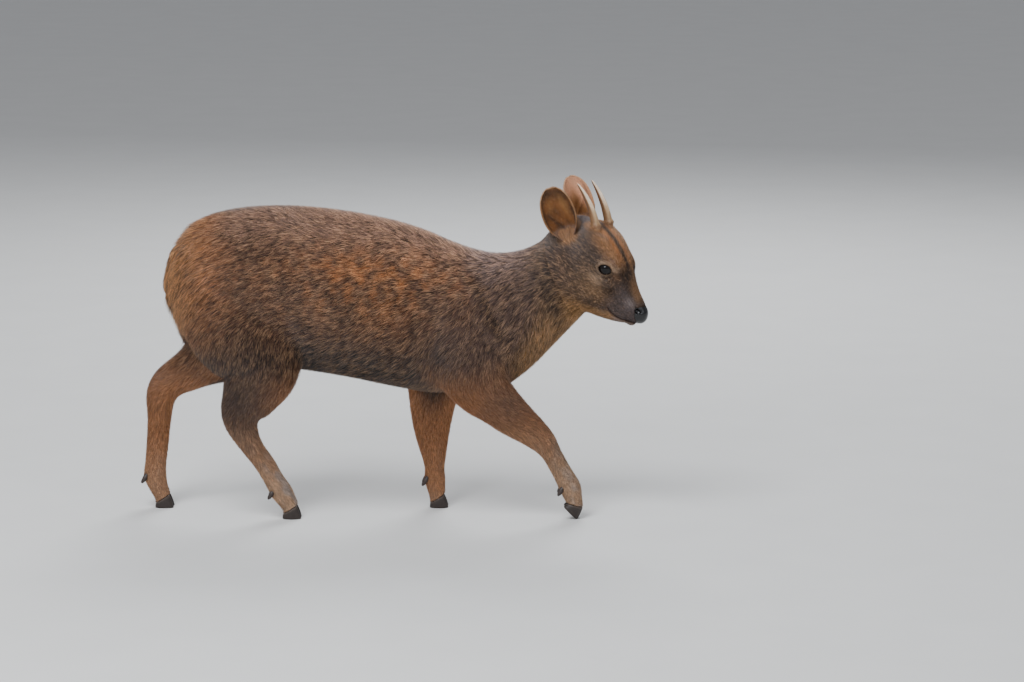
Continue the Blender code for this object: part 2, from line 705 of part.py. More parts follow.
def ear(side):
    """A rounded leaf, rolled into a tube at its root and cupped above it."""
    axis = EAR_AXIS[side].normalized()
    opens = (EAR_OPENS[side] - axis * EAR_OPENS[side].dot(axis)).normalized()
    across = axis.cross(opens)
    root = mirrored(EAR_PLACE[side], side) - axis * EAR_SUNK[side]
    length = EAR_LENGTH + EAR_SUNK[-1]
    first_radius = EAR_ROWS[0][1]
    columns = 9
    form = bmesh.new()
    grid = []
    for share, radius, half_angle in EAR_ROWS:
        row = []
        for k in range(columns):
            angle = math.radians(half_angle) * (2 * k / (columns - 1) - 1)
            forward = radius * (1 - math.cos(angle)) - first_radius * (1 - 0.5 * share)
            aside = radius * math.sin(angle)
            place = root + axis * length * share + opens * forward + across * aside
            row.append(form.verts.new(place))
        grid.append(row)
    for lower, upper in zip(grid, grid[1:]):
        for k in range(columns - 1):
            form.faces.new((lower[k], lower[k + 1], upper[k + 1], upper[k]))
    mesh = bpy.data.meshes.new("ear")
    form.to_mesh(mesh)
    form.free()
    leaf = mesh_object("ear", mesh, workshop)
    shell = leaf.modifiers.new("shell", "SOLIDIFY")
    shell.thickness = EAR_THICKNESS
    shell.offset = 0.0
    shell.use_even_offset = True
    return settled(leaf)


def make_head(neck):
    """The head with its eyes, ears, antlers and nose, each let into it with the gap."""
    base = fused(joined("skull_form", neck + skull_forms()), SKULL_VOXEL, SKULL_SMOOTH)
    head = fused(joined("head_form", [base] + face_forms()), HEAD_VOXEL, HEAD_SMOOTH,
                 HEAD_TRIANGLES)
    front = split(head, *HEAD_FROM_NECK, "head")
    bpy.data.objects.remove(head)
    head = front
    standing = []
    for side, name in ((1, "left"), (-1, "right")):
        for piece, kind, material in (
            (antler(side), "antler_", "antler"), (ear(side), "ear_", "ear_skin")
        ):
            standing += in_place([piece])
            publish(piece, kind + name, material)
    seat(standing, head)
    for side, name in ((1, "left"), (-1, "right")):
        cutters = nostril_pit(side) + [lid_opening(side), eye_ball(side, GAP)]
        let_in(head, *in_place(cutters))
        ball = eye_ball(side)
        in_place([ball])
        publish(ball, "eye_" + name, "eye_dark")
    let_in(head, *in_place([mouth_slot()]))
    pad = nose_form("pad", NOSE_REACH)
    socket = nose_form("socket", NOSE_REACH + GAP)
    in_place([pad, socket])
    nose = copied(head, "nose")
    boolean(nose, pad, "INTERSECT")
    bpy.data.objects.remove(pad)
    let_in(head, socket)
    publish(largest_body(nose), "nose", "nose_black")
    publish(head, "head", "coat_brown")


# Body

def make_tail(torso):
    """A short flat stub that lies against the rump."""
    run = TAIL_TIP - TAIL_TOP
    lie = run.to_track_quat("Z", "X").to_matrix()
    middle = (TAIL_TOP + TAIL_TIP) / 2
    radii = (TAIL_HALF_DEPTH, TAIL_HALF_WIDTH, run.length / 2)
    stub = ellipsoid("tail", middle, radii, lie, 12, 8)
    seat([stub], torso)
    publish(stub, "tail", "coat_rufous")


def foot_matrix(x, y, z, pitch):
    """Places a foot's own frame, with its origin on the sole, pitched toe down."""
    turn = Matrix.Rotation(math.radians(pitch), 4, "Y")
    return Matrix.Translation((x, y, z)) @ turn @ Matrix.Translation((0.0, 0.0, -CORONET))


def claw(place, aside):
    """One claw: a pointed sole, a sloping front wall, and a top that slants back."""
    steps = 12
    rings = []
    for height, back, front, width in (
        (0.0, -0.0105, 0.0150, 0.94), (0.35, -0.0110, 0.0132, 1.0), (1.0, -0.0104, 0.0088, 0.98),
    ):
        ring = []
        for k in range(steps):
            turn = 2 * math.pi * k / steps
            along = math.cos(turn)
            x = (front + back) / 2 + (front - back) / 2 * along
            point = 1.0 - 0.35 * max(along, 0.0) ** 2 * (1.0 - 0.5 * height)
            y = aside + CLAW_HALF_WIDTH * width * math.sin(turn) * point
            top = CORONET + CORONET_SLANT * x - GAP
            ring.append((x, y, top * height))
        rings.append(ring)
    block = loft("claw", rings)
    block.data.transform(place)
    return block


def dewclaw(heel, side):
    """A small blunt nail behind the pastern that points down and back."""
    aside = 0.0085 * side
    way = Vector((-0.55, 0.25 * side, -0.80)).normalized()
    lie = way.to_track_quat("Z", "Y").to_matrix()
    turn = np.linspace(0, 2 * math.pi, 7, endpoint=False)
    rings = []
    for share, size in ((-0.35, 0.80), (0.2, 1.0), (0.75, 0.66), (1.0, 0.2)):
        z = DEWCLAW_LENGTH * share
        radius = DEWCLAW_RADIUS * size
        rings.append([(radius * math.cos(t), radius * math.sin(t), z) for t in turn])
    nail = loft("dewclaw", rings)
    nail.data.transform(Matrix.Translation(heel + Vector((0, aside, 0))) @ lie.to_4x4())
    return nail


def make_leg(flesh, name):
    """Parts one leg off the trunk, and divides it down to its hooves."""
    stations, side, outline, joint, foot = LEGS[name]
    corners = []
    for x, z, inner in outline:
        corners += [(x, side * inner, z), (x, side * FLANK, z)]
    leg = carve(flesh, corners, name)
    (joint_x, joint_z), (way_x, way_z) = joint
    lower = split(leg, (joint_x, 0.0, joint_z), (way_x, 0.0, way_z), "lower")
    hind = name.startswith("hind")
    publish(leg, name + ("_thigh" if hind else "_arm"), "coat_rufous")
    place = foot_matrix(*foot)
    level = place @ Vector((0.0, 0.0, CORONET))
    slant = place.to_3x3() @ Vector((-CORONET_SLANT, 0.0, 1.0))
    end = split(lower, level - slant.normalized() * GAP / 2, -slant, "end")
    bpy.data.objects.remove(end)
    pair = name.replace("leg", "")
    ankle = stations[-4]
    heel = Vector((ankle[0] - 0.75 * ankle[3], ankle[1], ankle[2]))
    for way, which in ((-1, "inner"), (1, "outer")):
        toward = way * side
        nail = dewclaw(heel, toward)
        seat([nail], lower)
        publish(nail, "dewclaw_" + pair + "_" + which, "hoof")
        hoof = claw(place, toward * (CLEFT / 2 + CLAW_HALF_WIDTH))
        if foot[3]:
            floor = half_space("floor", (0, 0, 0), (0, 0, 1))
            let_in(hoof, floor)
        publish(hoof, "hoof_" + pair + "_" + which, "hoof")
    publish(lower, name + "_cannon", "coat_rufous")


def stand_on_origin():
    """Shifts all that is published so that the middle of its box's floor is the origin."""
    points = []
    for thing in parts.objects:
        points += [vert.co for vert in thing.data.vertices]
    points = np.array(points)
    low, high = points.min(axis=0), points.max(axis=0)
    shift = Vector((-(low[0] + high[0]) / 2, -(low[1] + high[1]) / 2, 0.0))
    for thing in parts.objects:
        thing.data.transform(Matrix.Translation(shift))
    return shift


def build():
    """Makes every node."""
    clear_scene()
    rings = trunk_rings(TRUNK)
    body = [loft("trunk", rings)]
    for name, leg in LEGS.items():
        body.append(loft(name, leg_rings(leg[0], grow=LEG_SWELL)))
    body += skull_forms()
    flesh = fused(joined("body_form", body), BODY_VOXEL, BODY_SMOOTH, BODY_TRIANGLES)
    bpy.data.objects.remove(split(flesh, *HEAD_FROM_NECK, "coarse_head"))
    for name in LEGS:
        make_leg(flesh, name)
    publish(split(flesh, *NECK_FROM_TORSO, "neck"), "neck", "coat_brown")
    make_tail(flesh)
    publish(flesh, "torso", "coat_brown")
    neck_from = len(rings) * NECK_FROM // len(TRUNK)
    make_head([loft("neck_end", rings[neck_from:])])
    return stand_on_origin()


SHIFT = build()
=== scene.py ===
"""A southern pudu buck in its coat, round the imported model.

Metres, +X the way the body faces, +Y the animal's left, +Z up.
The forms are worked out in the working frame of the stations below, and every finished
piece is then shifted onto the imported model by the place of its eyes.
"""

import math

import bmesh
import bpy
import numpy as np
from mathutils import Matrix, Vector
from mathutils.bvhtree import BVHTree


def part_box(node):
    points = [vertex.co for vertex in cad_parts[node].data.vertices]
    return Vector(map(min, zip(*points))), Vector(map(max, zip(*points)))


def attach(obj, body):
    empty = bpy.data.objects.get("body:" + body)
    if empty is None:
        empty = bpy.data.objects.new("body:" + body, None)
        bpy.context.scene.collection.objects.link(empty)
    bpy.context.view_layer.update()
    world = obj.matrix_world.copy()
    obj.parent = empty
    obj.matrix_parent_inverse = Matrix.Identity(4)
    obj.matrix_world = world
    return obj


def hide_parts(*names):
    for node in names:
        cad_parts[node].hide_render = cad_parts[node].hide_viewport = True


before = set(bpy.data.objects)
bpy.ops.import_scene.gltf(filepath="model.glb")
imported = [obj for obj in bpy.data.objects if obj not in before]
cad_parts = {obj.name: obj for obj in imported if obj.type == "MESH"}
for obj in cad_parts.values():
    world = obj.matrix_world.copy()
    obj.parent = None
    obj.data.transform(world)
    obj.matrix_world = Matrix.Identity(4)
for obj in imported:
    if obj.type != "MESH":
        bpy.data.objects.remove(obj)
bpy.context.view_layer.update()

# The photograph: its size, the pixel where the near feet's level crosses the origin, and how
# far a pixel reaches across the animal's side and up it
PHOTO_SIZE = (1024, 682)
PHOTO_ORIGIN = (400, 517)
PIXEL = 0.00137
PIXEL_RISE = 0.00139

# Pixels of the photograph in the middle of markings on the near side
SADDLE_PIXEL = (395, 278)
SHOULDER_PIXEL = (465, 335)
SHOULDER_BLADE_PIXEL = (470, 350)
CHEST_PIXEL = (522, 366)
GASKIN_PIXEL = (242, 392)
FOREARM_PIXEL = (505, 400)
CANNON_PIXEL = (560, 468)
JAW_BACK_PIXEL = (553, 296)

# The camera: the photograph's row that holds the floor's middle line, how steeply the camera
# looks down, how far off it stands, and how wide its sensor is in millimetres
FLOOR_ROW = 512
CAMERA_RISE = math.radians(10.0)
CAMERA_DISTANCE = 5.0
SENSOR = 36.0

# How fine the skin is made, and how much it is smoothed
BODY_VOXEL = 0.0026
BODY_SMOOTH = 16
SKULL_VOXEL = 0.0026
SKULL_SMOOTH = 14
HEAD_VOXEL = 0.0009
HEAD_SMOOTH = 9

# The head's place, and the places on it in its own frame, whose origin is the nose tip
NOSE_TIP = Vector((0.3355, -0.064, 0.287))
HEAD_YAW = math.radians(27.0)
HEAD_PITCH = math.radians(44.0)
NOSE_PAD = Vector((-0.0062, 0.0, -0.0077))
NOSE_PAD_RADII = (0.0096, 0.0113, 0.0137)
NOSE_PAD_TILT = math.radians(-44.0)
NOSE_REACH = 1.15
EYE_RADIUS = 0.0112
EYE_PLACE = Vector((-0.0790, 0.0225, 0.0085))
EYE_GAZE = np.array([0.242, 0.970, 0.0])
LID_THICKNESS = 0.0016
LID_TILT = math.radians(-26.0)
LID_YAW = math.radians(-14.0)
LID_LONG = 0.0106
LID_SHORT = 0.0074
LID_LOWER = 0.85
LID_BOW = (LID_LONG**2 + LID_SHORT**2) / (2 * LID_SHORT)
LID_FLARE = 48.0
BROW_YAW = math.radians(12.0)
BROW_TIP = math.radians(20.0)
CHEEK_YAW = math.radians(-14.0)
STRIPE_ASIDE = 0.0062
NOSTRIL_PLACE = Vector((-0.0094, 0.0101, -0.0052))
NOSTRIL_SLANT = math.radians(35.0)
NOSTRIL_TILT = math.radians(-25.0)
ANTLER_ROOT = Vector((-0.1282, 0.0195, 0.0345))
ANTLER_LENGTH = 0.0645
ANTLER_SPREAD = 0.03
ANTLER_RADIUS = 0.0056
ANTLER_LEAN = math.radians(54.0)
ANTLER_BEND = math.radians(30.0)
ANTLER_SUNK = 0.006
PEDICLE_RADIUS = 0.0092
EAR_HOLLOW = (-0.1520, 0.0300, 0.0030)
EAR_FOOT = (-0.1500, 0.0300, 0.0050)
EAR_LENGTH = 0.0605
EAR_THICKNESS = 0.0013
EAR_SUNK = {1: 0.006, -1: 0.014}
EAR_REACH = EAR_LENGTH + EAR_SUNK[-1]
EAR_PLACE = {1: Vector((-0.1584, 0.0289, 0.0011)), -1: Vector((-0.1553, 0.0311, 0.0039))}

# The ear's rows, root to tip: share of its length, radius of the cup, half angle of the cup
EAR_ROWS = (
    (0.00, 0.0092, 125), (0.12, 0.0126, 116), (0.25, 0.0177, 94), (0.40, 0.0221, 75),
    (0.56, 0.0251, 62), (0.70, 0.0268, 52), (0.82, 0.0277, 42), (0.91, 0.0272, 32),
    (0.97, 0.0260, 21), (1.00, 0.0260, 9),
)
EAR_AXIS = {1: Vector((-0.726, -0.312, 0.612)), -1: Vector((-0.800, -0.317, 0.509))}
EAR_OPENS = {1: Vector((0.686, -0.384, 0.618)), -1: Vector((0.465, -0.864, 0.192))}

# The feet: how high and how steep the coronet is, the claws, how close their rings of growth
# are, how far round a foot its flesh is cut, and the dewclaws
CORONET = 0.0125
CORONET_SLANT = 0.6
CLAW_HALF_WIDTH = 0.0062
CLEFT = 0.0016
CLAW_GROWTH = 42.0
FOOT_REACH = 0.045
DEWCLAW_LENGTH = 0.011
DEWCLAW_RADIUS = 0.0036

# The tail
TAIL_TOP = Vector((-0.3070, 0.0, 0.3560))
TAIL_TIP = Vector((-0.3185, 0.0, 0.3020))
TAIL_HALF_WIDTH = 0.0115
TAIL_HALF_DEPTH = 0.0060

# Trunk and neck stations, rump to throat: top x, top z, bottom x, bottom z, half width,
# sideways place, turn in degrees, and how much wider the section is below than above
TRUNK = (
    (-0.3140, 0.3380, -0.3130, 0.3000, 0.014, 0.000, 0, 0.00),
    (-0.3060, 0.3700, -0.3050, 0.2640, 0.039, 0.000, 0, 0.00),
    (-0.2790, 0.4025, -0.2790, 0.2340, 0.060, 0.000, 0, 0.00),
    (-0.2260, 0.4200, -0.2220, 0.2120, 0.075, 0.000, 0, 0.02),
    (-0.1576, 0.4250, -0.1450, 0.2010, 0.080, 0.000, 0, 0.06),
    (-0.0822, 0.4195, -0.0712, 0.1890, 0.083, 0.000, 0, 0.08),
    (-0.0137, 0.4070, -0.0068, 0.1755, 0.080, 0.000, 0, 0.10),
    (0.0343, 0.3930, 0.0438, 0.1670, 0.073, 0.000, 0, 0.12),
    (0.0754, 0.3755, 0.1000, 0.1650, 0.066, 0.000, 0, 0.12),
    (0.1096, 0.3645, 0.1440, 0.1760, 0.059, -0.001, 3, 0.08),
    (0.1397, 0.3610, 0.1800, 0.2010, 0.052, -0.004, 7, 0.04),
    (0.1699, 0.3670, 0.2110, 0.2340, 0.046, -0.009, 12, 0.00),
    (0.1960, 0.3800, 0.2340, 0.2600, 0.042, -0.016, 18, 0.00),
    (0.2180, 0.3885, 0.2520, 0.2820, 0.036, -0.023, 24, 0.00),
    (0.2320, 0.3810, 0.2560, 0.3030, 0.026, -0.027, 27, 0.00),
    (0.2440, 0.3710, 0.2570, 0.3250, 0.013, -0.030, 27, 0.00),
)
NECK_FROM = 9
TRUNK_RINGS = 56

# Leg stations, hip or shoulder to below the floor: x, sideways place, z, half depth, half width
HIND_RIGHT = (
    (-0.2440, -0.034, 0.3200, 0.062, 0.034),
    (-0.2200, -0.042, 0.2670, 0.068, 0.040),
    (-0.1840, -0.046, 0.2160, 0.056, 0.034),
    (-0.1990, -0.045, 0.1740, 0.0410, 0.0255),
    (-0.2120, -0.043, 0.1470, 0.0300, 0.0190),
    (-0.2115, -0.041, 0.1270, 0.0222, 0.0165),
    (-0.1990, -0.039, 0.1000, 0.0158, 0.0128),
    (-0.1825, -0.037, 0.0765, 0.0146, 0.0120),
    (-0.1690, -0.036, 0.0520, 0.0140, 0.0125),
    (-0.1600, -0.035, 0.0365, 0.0154, 0.0148),
    (-0.1520, -0.035, 0.0235, 0.0130, 0.0138),
    (-0.1470, -0.035, 0.0130, 0.0112, 0.0128),
    (-0.1480, -0.035, -0.0060, 0.0108, 0.0126),
)
HIND_LEFT = (
    (-0.2500, 0.034, 0.3200, 0.060, 0.034),
    (-0.2480, 0.042, 0.2620, 0.060, 0.040),
    (-0.2460, 0.046, 0.2200, 0.047, 0.034),
    (-0.2850, 0.045, 0.1930, 0.0320, 0.0240),
    (-0.3150, 0.043, 0.1755, 0.0250, 0.0185),
    (-0.3285, 0.041, 0.1550, 0.0215, 0.0164),
    (-0.3310, 0.039, 0.1240, 0.0172, 0.0132),
    (-0.3340, 0.037, 0.0890, 0.0160, 0.0122),
    (-0.3370, 0.036, 0.0610, 0.0150, 0.0126),
    (-0.3380, 0.035, 0.0440, 0.0158, 0.0148),
    (-0.3330, 0.035, 0.0270, 0.0130, 0.0138),
    (-0.3270, 0.035, 0.0130, 0.0112, 0.0128),
    (-0.3280, 0.035, -0.0060, 0.0108, 0.0126),
)
FORE_RIGHT = (
    (0.0550, -0.036, 0.3050, 0.050, 0.030),
    (0.0760, -0.042, 0.2420, 0.050, 0.034),
    (0.1100, -0.045, 0.1850, 0.0430, 0.0270),
    (0.1315, -0.044, 0.1625, 0.0335, 0.0220),
    (0.1550, -0.042, 0.1410, 0.0280, 0.0185),
    (0.1785, -0.040, 0.1222, 0.0225, 0.0165),
    (0.1960, -0.038, 0.1060, 0.0182, 0.0158),
    (0.2075, -0.037, 0.0890, 0.0142, 0.0128),
    (0.2178, -0.036, 0.0700, 0.0138, 0.0120),
    (0.2260, -0.036, 0.0550, 0.0143, 0.0130),
    (0.2328, -0.036, 0.0415, 0.0152, 0.0146),
    (0.2365, -0.036, 0.0290, 0.0126, 0.0132),
    (0.2390, -0.036, 0.0170, 0.0112, 0.0126),
    (0.2400, -0.036, 0.0020, 0.0108, 0.0126),
)
FORE_LEFT = (
    (0.0500, 0.036, 0.3050, 0.050, 0.030),
    (0.0490, 0.042, 0.2350, 0.046, 0.034),
    (0.0460, 0.044, 0.1680, 0.0370, 0.0265),
    (0.0435, 0.043, 0.1340, 0.0308, 0.0215),
    (0.0435, 0.041, 0.1040, 0.0250, 0.0180),
    (0.0455, 0.039, 0.0780, 0.0190, 0.0158),
    (0.0470, 0.037, 0.0550, 0.0140, 0.0125),
    (0.0470, 0.036, 0.0400, 0.0150, 0.0146),
    (0.0490, 0.035, 0.0265, 0.0128, 0.0136),
    (0.0510, 0.035, 0.0130, 0.0112, 0.0128),
    (0.0510, 0.035, -0.0060, 0.0108, 0.0126),
)
LEG_SWELL = 0.0008
SIDES = ((1, "left"), (-1, "right"))

# Each leg: its stations, its side, and the middle of its coronet with the foot's pitch
LEGS = {
    "hind_right": (HIND_RIGHT, -1, (-0.1475, -0.035, CORONET, 0)),
    "hind_left": (HIND_LEFT, 1, (-0.3270, 0.035, CORONET, 0)),
    "fore_right": (FORE_RIGHT, -1, (0.2398, -0.036, 0.0183, 45)),
    "fore_left": (FORE_LEFT, 1, (0.0510, 0.035, CORONET, 0)),
}
FLESH_NODES = ["torso", "neck", "head", "tail", "nose", "ear_left", "ear_right"]
for leg, halves in (("hindleg", ("thigh", "cannon")), ("foreleg", ("arm", "cannon"))):
    FLESH_NODES += ["%s_%s_%s" % (leg, side, half) for _, side in SIDES for half in halves]

# The coat: how far the skin lies under its tips, how long the hair is, and how many tufts grow
# on a square metre; the functions of the coat add to these from place to place
BODY_DEPTH = 0.0058
LEG_DEPTH = 0.0034
HEAD_DEPTH = 0.0026
BARE_DEPTH = 0.0004
BODY_HAIR = 0.0150
LEG_HAIR = 0.0100
HEAD_HAIR = 0.0030
EAR_HAIR = 0.0050
EAR_BACK_HAIR = 0.0046
BODY_TUFTS = 620000
HEAD_TUFTS = 1400000
EAR_TUFTS = 1500000.0

# The material slots of the coat pieces that aren't plain brown
COAT_SLOTS = {
    "rump": "coat_rufous", "hindleg": "coat_rufous", "foreleg": "coat_rufous", "ear": "ear_skin",
}

# Where the head's finer skin meets the body's: a point on the plane and the way it faces
HEAD_FROM_NECK = (Vector((0.222, -0.020, 0.335)), Vector((0.87, -0.32, 0.37)).normalized())

# Head stations in the head's own frame, nose to nape: place behind the nose tip, top,
# bottom, half width, how high the widest level lies, and how square the section is
HEAD = (
    (-0.0035, -0.0010, -0.0200, 0.0082, 0.10, 2.3),
    (-0.0080, 0.0038, -0.0298, 0.0128, 0.00, 2.4),
    (-0.0180, 0.0074, -0.0395, 0.0150, 0.05, 2.4),
    (-0.0330, 0.0125, -0.0508, 0.0174, 0.15, 2.3),
    (-0.0520, 0.0210, -0.0617, 0.0225, 0.25, 2.6),
    (-0.0720, 0.0315, -0.0706, 0.0290, 0.30, 3.0),
    (-0.0920, 0.0375, -0.0732, 0.0335, 0.35, 3.1),
    (-0.1120, 0.0400, -0.0698, 0.0360, 0.35, 3.1),
    (-0.1320, 0.0365, -0.0600, 0.0360, 0.25, 2.6),
    (-0.1520, 0.0230, -0.0500, 0.0335, 0.00, 2.0),
    (-0.1720, 0.0080, -0.0420, 0.0280, 0.00, 2.0),
)


# Mesh tools

def mesh_object(name, mesh):
    """An object of that mesh in the scene."""
    thing = bpy.data.objects.new(name, mesh)
    bpy.context.scene.collection.objects.link(thing)
    return thing


def form_object(name, form):
    """An object of that form in the scene; the form itself is done with."""
    mesh = bpy.data.meshes.new(name)
    form.to_mesh(mesh)
    form.free()
    return mesh_object(name, mesh)


def smooth_rows(table, count):
    """The rows of a table read at `count` places along a smooth curve through them."""
    rows = np.array(table, float)
    rows = np.vstack([2 * rows[0] - rows[1], rows, 2 * rows[-1] - rows[-2]])
    place = np.linspace(0, len(table) - 1, count)
    first = np.minimum(place.astype(int), len(table) - 2)
    t = (place - first)[:, None]
    a, b, c, d = (rows[first + k] for k in range(4))
    bend = 2 * a - 5 * b + 4 * c - d
    twist = 3 * b - a - 3 * c + d
    return 0.5 * (2 * b + (c - a) * t + bend * t**2 + twist * t**3)


def loft(name, rings):
    """A closed mesh through rings of points, with a fan of faces over each end."""
    rings = np.asarray(rings, float)
    form = bmesh.new()
    grid = [[form.verts.new(point) for point in ring] for ring in rings]
    sides = rings.shape[1]
    for lower, upper in zip(grid, grid[1:]):
        for k in range(sides):
            m = (k + 1) % sides
            form.faces.new((lower[k], lower[m], upper[m], upper[k]))
    for ring, row in ((rings[0], grid[0]), (rings[-1], grid[-1])):
        middle = form.verts.new(ring.mean(axis=0))
        for k in range(sides):
            form.faces.new((row[k], row[(k + 1) % sides], middle))
    bmesh.ops.recalc_face_normals(form, faces=form.faces)
    return form_object(name, form)


def power(value, exponent):
    """A signed power, for sections squarer than an ellipse."""
    return np.sign(value) * np.abs(value) ** exponent


def trunk_rings(sides=48):
    """Rings of the trunk and neck, in planes through each station's top and bottom."""
    turn = np.linspace(0, 2 * math.pi, sides, endpoint=False)
    rings = []
    for top_x, top_z, low_x, low_z, half, aside, yaw, heavy in smooth_rows(TRUNK, TRUNK_RINGS):
        middle = np.array([(top_x + low_x) / 2, aside, (top_z + low_z) / 2])
        up = np.array([(top_x - low_x) / 2, 0.0, (top_z - low_z) / 2])
        across = np.array([math.sin(math.radians(yaw)), math.cos(math.radians(yaw)), 0.0])
        high = power(np.sin(turn), 0.94)
        wide = power(np.cos(turn), 0.94) * half * (1 - heavy * high)
        rings.append(middle + np.outer(high, up) + np.outer(wide, across))
    return rings


def leg_rings(table, count=56, sides=28):
    """Rings of a leg, square to its line in the side view."""
    rows = smooth_rows(table, count)
    run = np.gradient(rows[:, [0, 2]], axis=0)
    run = run / np.linalg.norm(run, axis=1)[:, None]
    turn = np.linspace(0, 2 * math.pi, sides, endpoint=False)
    rings = []
    for (x, y, z, depth, width), (run_x, run_z) in zip(rows, run):
        forward = np.array([-run_z, 0.0, run_x]) * (depth + LEG_SWELL)
        across = np.array([0.0, 1.0, 0.0]) * (width + LEG_SWELL)
        ring = np.outer(np.cos(turn), forward) + np.outer(np.sin(turn), across)
        rings.append(np.array([x, y, z]) + ring)
    return rings


def head_matrix():
    """Places the head's own frame, with its origin at the nose tip, in the model."""
    turn = Matrix.Rotation(-HEAD_YAW, 4, "Z") @ Matrix.Rotation(HEAD_PITCH, 4, "Y")
    return Matrix.Translation(NOSE_TIP) @ turn


def head_rings(count=60, sides=44):
    """Rings of the head in its own frame, widest at or above half height."""
    turn = np.linspace(0, 2 * math.pi, sides, endpoint=False)
    rings = []
    for back, top, low, half, lift, square in smooth_rows(HEAD, count):
        high = power(np.sin(turn), 2 / square)
        wide = power(np.cos(turn), 2 / square)
        shift = lift * (1 - high**2)
        z = (top + low) / 2 + (high + shift) * (top - low) / 2
        x = np.full(sides, back)
        rings.append(np.stack([x, wide * half, z], axis=1))
    return rings


def ellipsoid(name, place, radii, turn=None, segments=32, rings=20):
    """A ball of three radii at a place, turned by a matrix."""
    form = bmesh.new()
    bmesh.ops.create_uvsphere(form, u_segments=segments, v_segments=rings, radius=1.0)
    ball = form_object(name, form)
    turned = (turn or Matrix.Identity(4)).to_4x4()
    ball.data.transform(Matrix.Translation(place) @ turned @ Matrix.Diagonal((*radii, 1.0)))
    return ball


def settled(thing):
    """The object with its modifiers applied."""
    depsgraph = bpy.context.evaluated_depsgraph_get()
    depsgraph.update()
    mesh = bpy.data.meshes.new_from_object(thing.evaluated_get(depsgraph))
    thing.modifiers.clear()
    thing.data = mesh
    return thing


def joined(name, things):
    """One object that holds several meshes."""
    form = bmesh.new()
    for thing in things:
        form.from_mesh(thing.data)
        bpy.data.objects.remove(thing)
    return form_object(name, form)


def fused(thing, voxel, rounds):
    """The pieces as one skin: remeshed and smoothed."""
    remesh = thing.modifiers.new("fuse", "REMESH")
    remesh.mode = "VOXEL"
    remesh.voxel_size = voxel
    soft = thing.modifiers.new("soft", "SMOOTH")
    soft.factor = 0.5
    soft.iterations = rounds
    return settled(thing)


def cut_away(thing, *cutters):
    """Cuts closed meshes out of a mesh."""
    for cutter in cutters:
        step = thing.modifiers.new("cut", "BOOLEAN")
        step.operation = "DIFFERENCE"
        step.solver = "EXACT"
        step.object = cutter
        settled(thing)
        bpy.data.objects.remove(cutter)
    return thing


def kept_half(thing, point, normal, inside=0.0):
    """Keeps the open half of a mesh that lies beyond a plane, less or plus a margin."""
    form = bmesh.new()
    form.from_mesh(thing.data)
    bmesh.ops.bisect_plane(
        form, geom=form.verts[:] + form.edges[:] + form.faces[:],
        plane_co=point + normal * inside, plane_no=normal, clear_inner=True,
    )
    form.to_mesh(thing.data)
    form.free()
    return thing


def places(mesh):
    """The places of a mesh's points as an array."""
    co = np.empty(len(mesh.vertices) * 3, np.float32)
    mesh.vertices.foreach_get("co", co)
    return co.reshape(-1, 3).astype(float)


def normals(mesh):
    """The normals of a mesh's points as an array."""
    out = np.empty(len(mesh.vertices) * 3, np.float32)
    mesh.vertex_normals.foreach_get("vector", out)
    return out.reshape(-1, 3).astype(float)


def put_places(mesh, co):
    """Writes an array of places back to a mesh."""
    mesh.vertices.foreach_set("co", np.ascontiguousarray(co, np.float32).ravel())
    mesh.update()


def unit(vectors):
    """Vectors of length one."""
    return vectors / np.maximum(np.linalg.norm(vectors, axis=-1, keepdims=True), 1e-9)


def ramp(value, low, high):
    """0 below `low`, 1 above `high`, and a smooth rise between them."""
    t = np.clip((value - low) / (high - low), 0.0, 1.0)
    return t * t * (3 - 2 * t)


def bump_at(distance, width):
    """A round bump: 1 at distance 0, fading over about `width`."""
    return np.exp(-((distance / width) ** 2))


# Places on the animal

TO_HEAD = np.array(head_matrix().inverted())


def head_places(points):
    """The same places in the head's own frame."""
    return points @ TO_HEAD[:3, :3].T + TO_HEAD[:3, 3]


def head_share(points):
    """1 on the head and 0 behind it, blended over the top of the neck."""
    point, normal = HEAD_FROM_NECK
    return ramp((points - np.array(point)) @ np.array(normal), -0.036, 0.030)


def folded(local):
    """Places in the head's frame, with those on the right mirrored to the left."""
    return np.stack([local[:, 0], np.abs(local[:, 1]), local[:, 2]], axis=1)


def eye_away(local):
    """How far places in the head's frame lie from the middle of the eye on their side."""
    return np.linalg.norm(folded(local) - np.array(EYE_PLACE), axis=1)


def lid_away(local):
    """How far places in the head's frame lie outside the rim of the eye's opening."""
    turn = Matrix.Rotation(LID_YAW, 3, "Z") @ Matrix.Rotation(LID_TILT, 3, "Y")
    x, depth, z = ((folded(local) - np.array(EYE_PLACE)) @ np.array(turn)).T
    size = np.maximum(1.0 + (depth - EYE_RADIUS) * LID_FLARE, 0.3)
    rise = np.where(z > 0, z, -z / LID_LOWER) / size
    away = np.hypot(x / size, rise + LID_BOW - LID_SHORT) - LID_BOW
    return np.where(depth > 0, away, 0.02)


def antler_away(local):
    """How far places in the head's frame lie from the root of the antler on their side."""
    return np.linalg.norm(folded(local) - np.array(ANTLER_ROOT), axis=1)


def ear_away(local):
    """How far places in the head's frame lie from the root of the ear on their side."""
    left = (local[:, 1] > 0)[:, None]
    root = np.where(left, mirrored(EAR_PLACE[1], 1), mirrored(EAR_PLACE[-1], -1))
    return np.linalg.norm(local - root, axis=1)


def collar_share(local):
    """1 where longer hair stands round the roots of the antlers and ears."""
    ear = 1.5 * bump_at(ear_away(local) - 0.013, 0.007)
    return np.maximum(ear, bump_at(antler_away(local) - 0.0070, 0.0035))


def rump_share(points):
    """1 on the rump's long hair, 0 elsewhere."""
    return ramp(-points[:, 0], 0.235, 0.300) * ramp(points[:, 2], 0.225, 0.270)


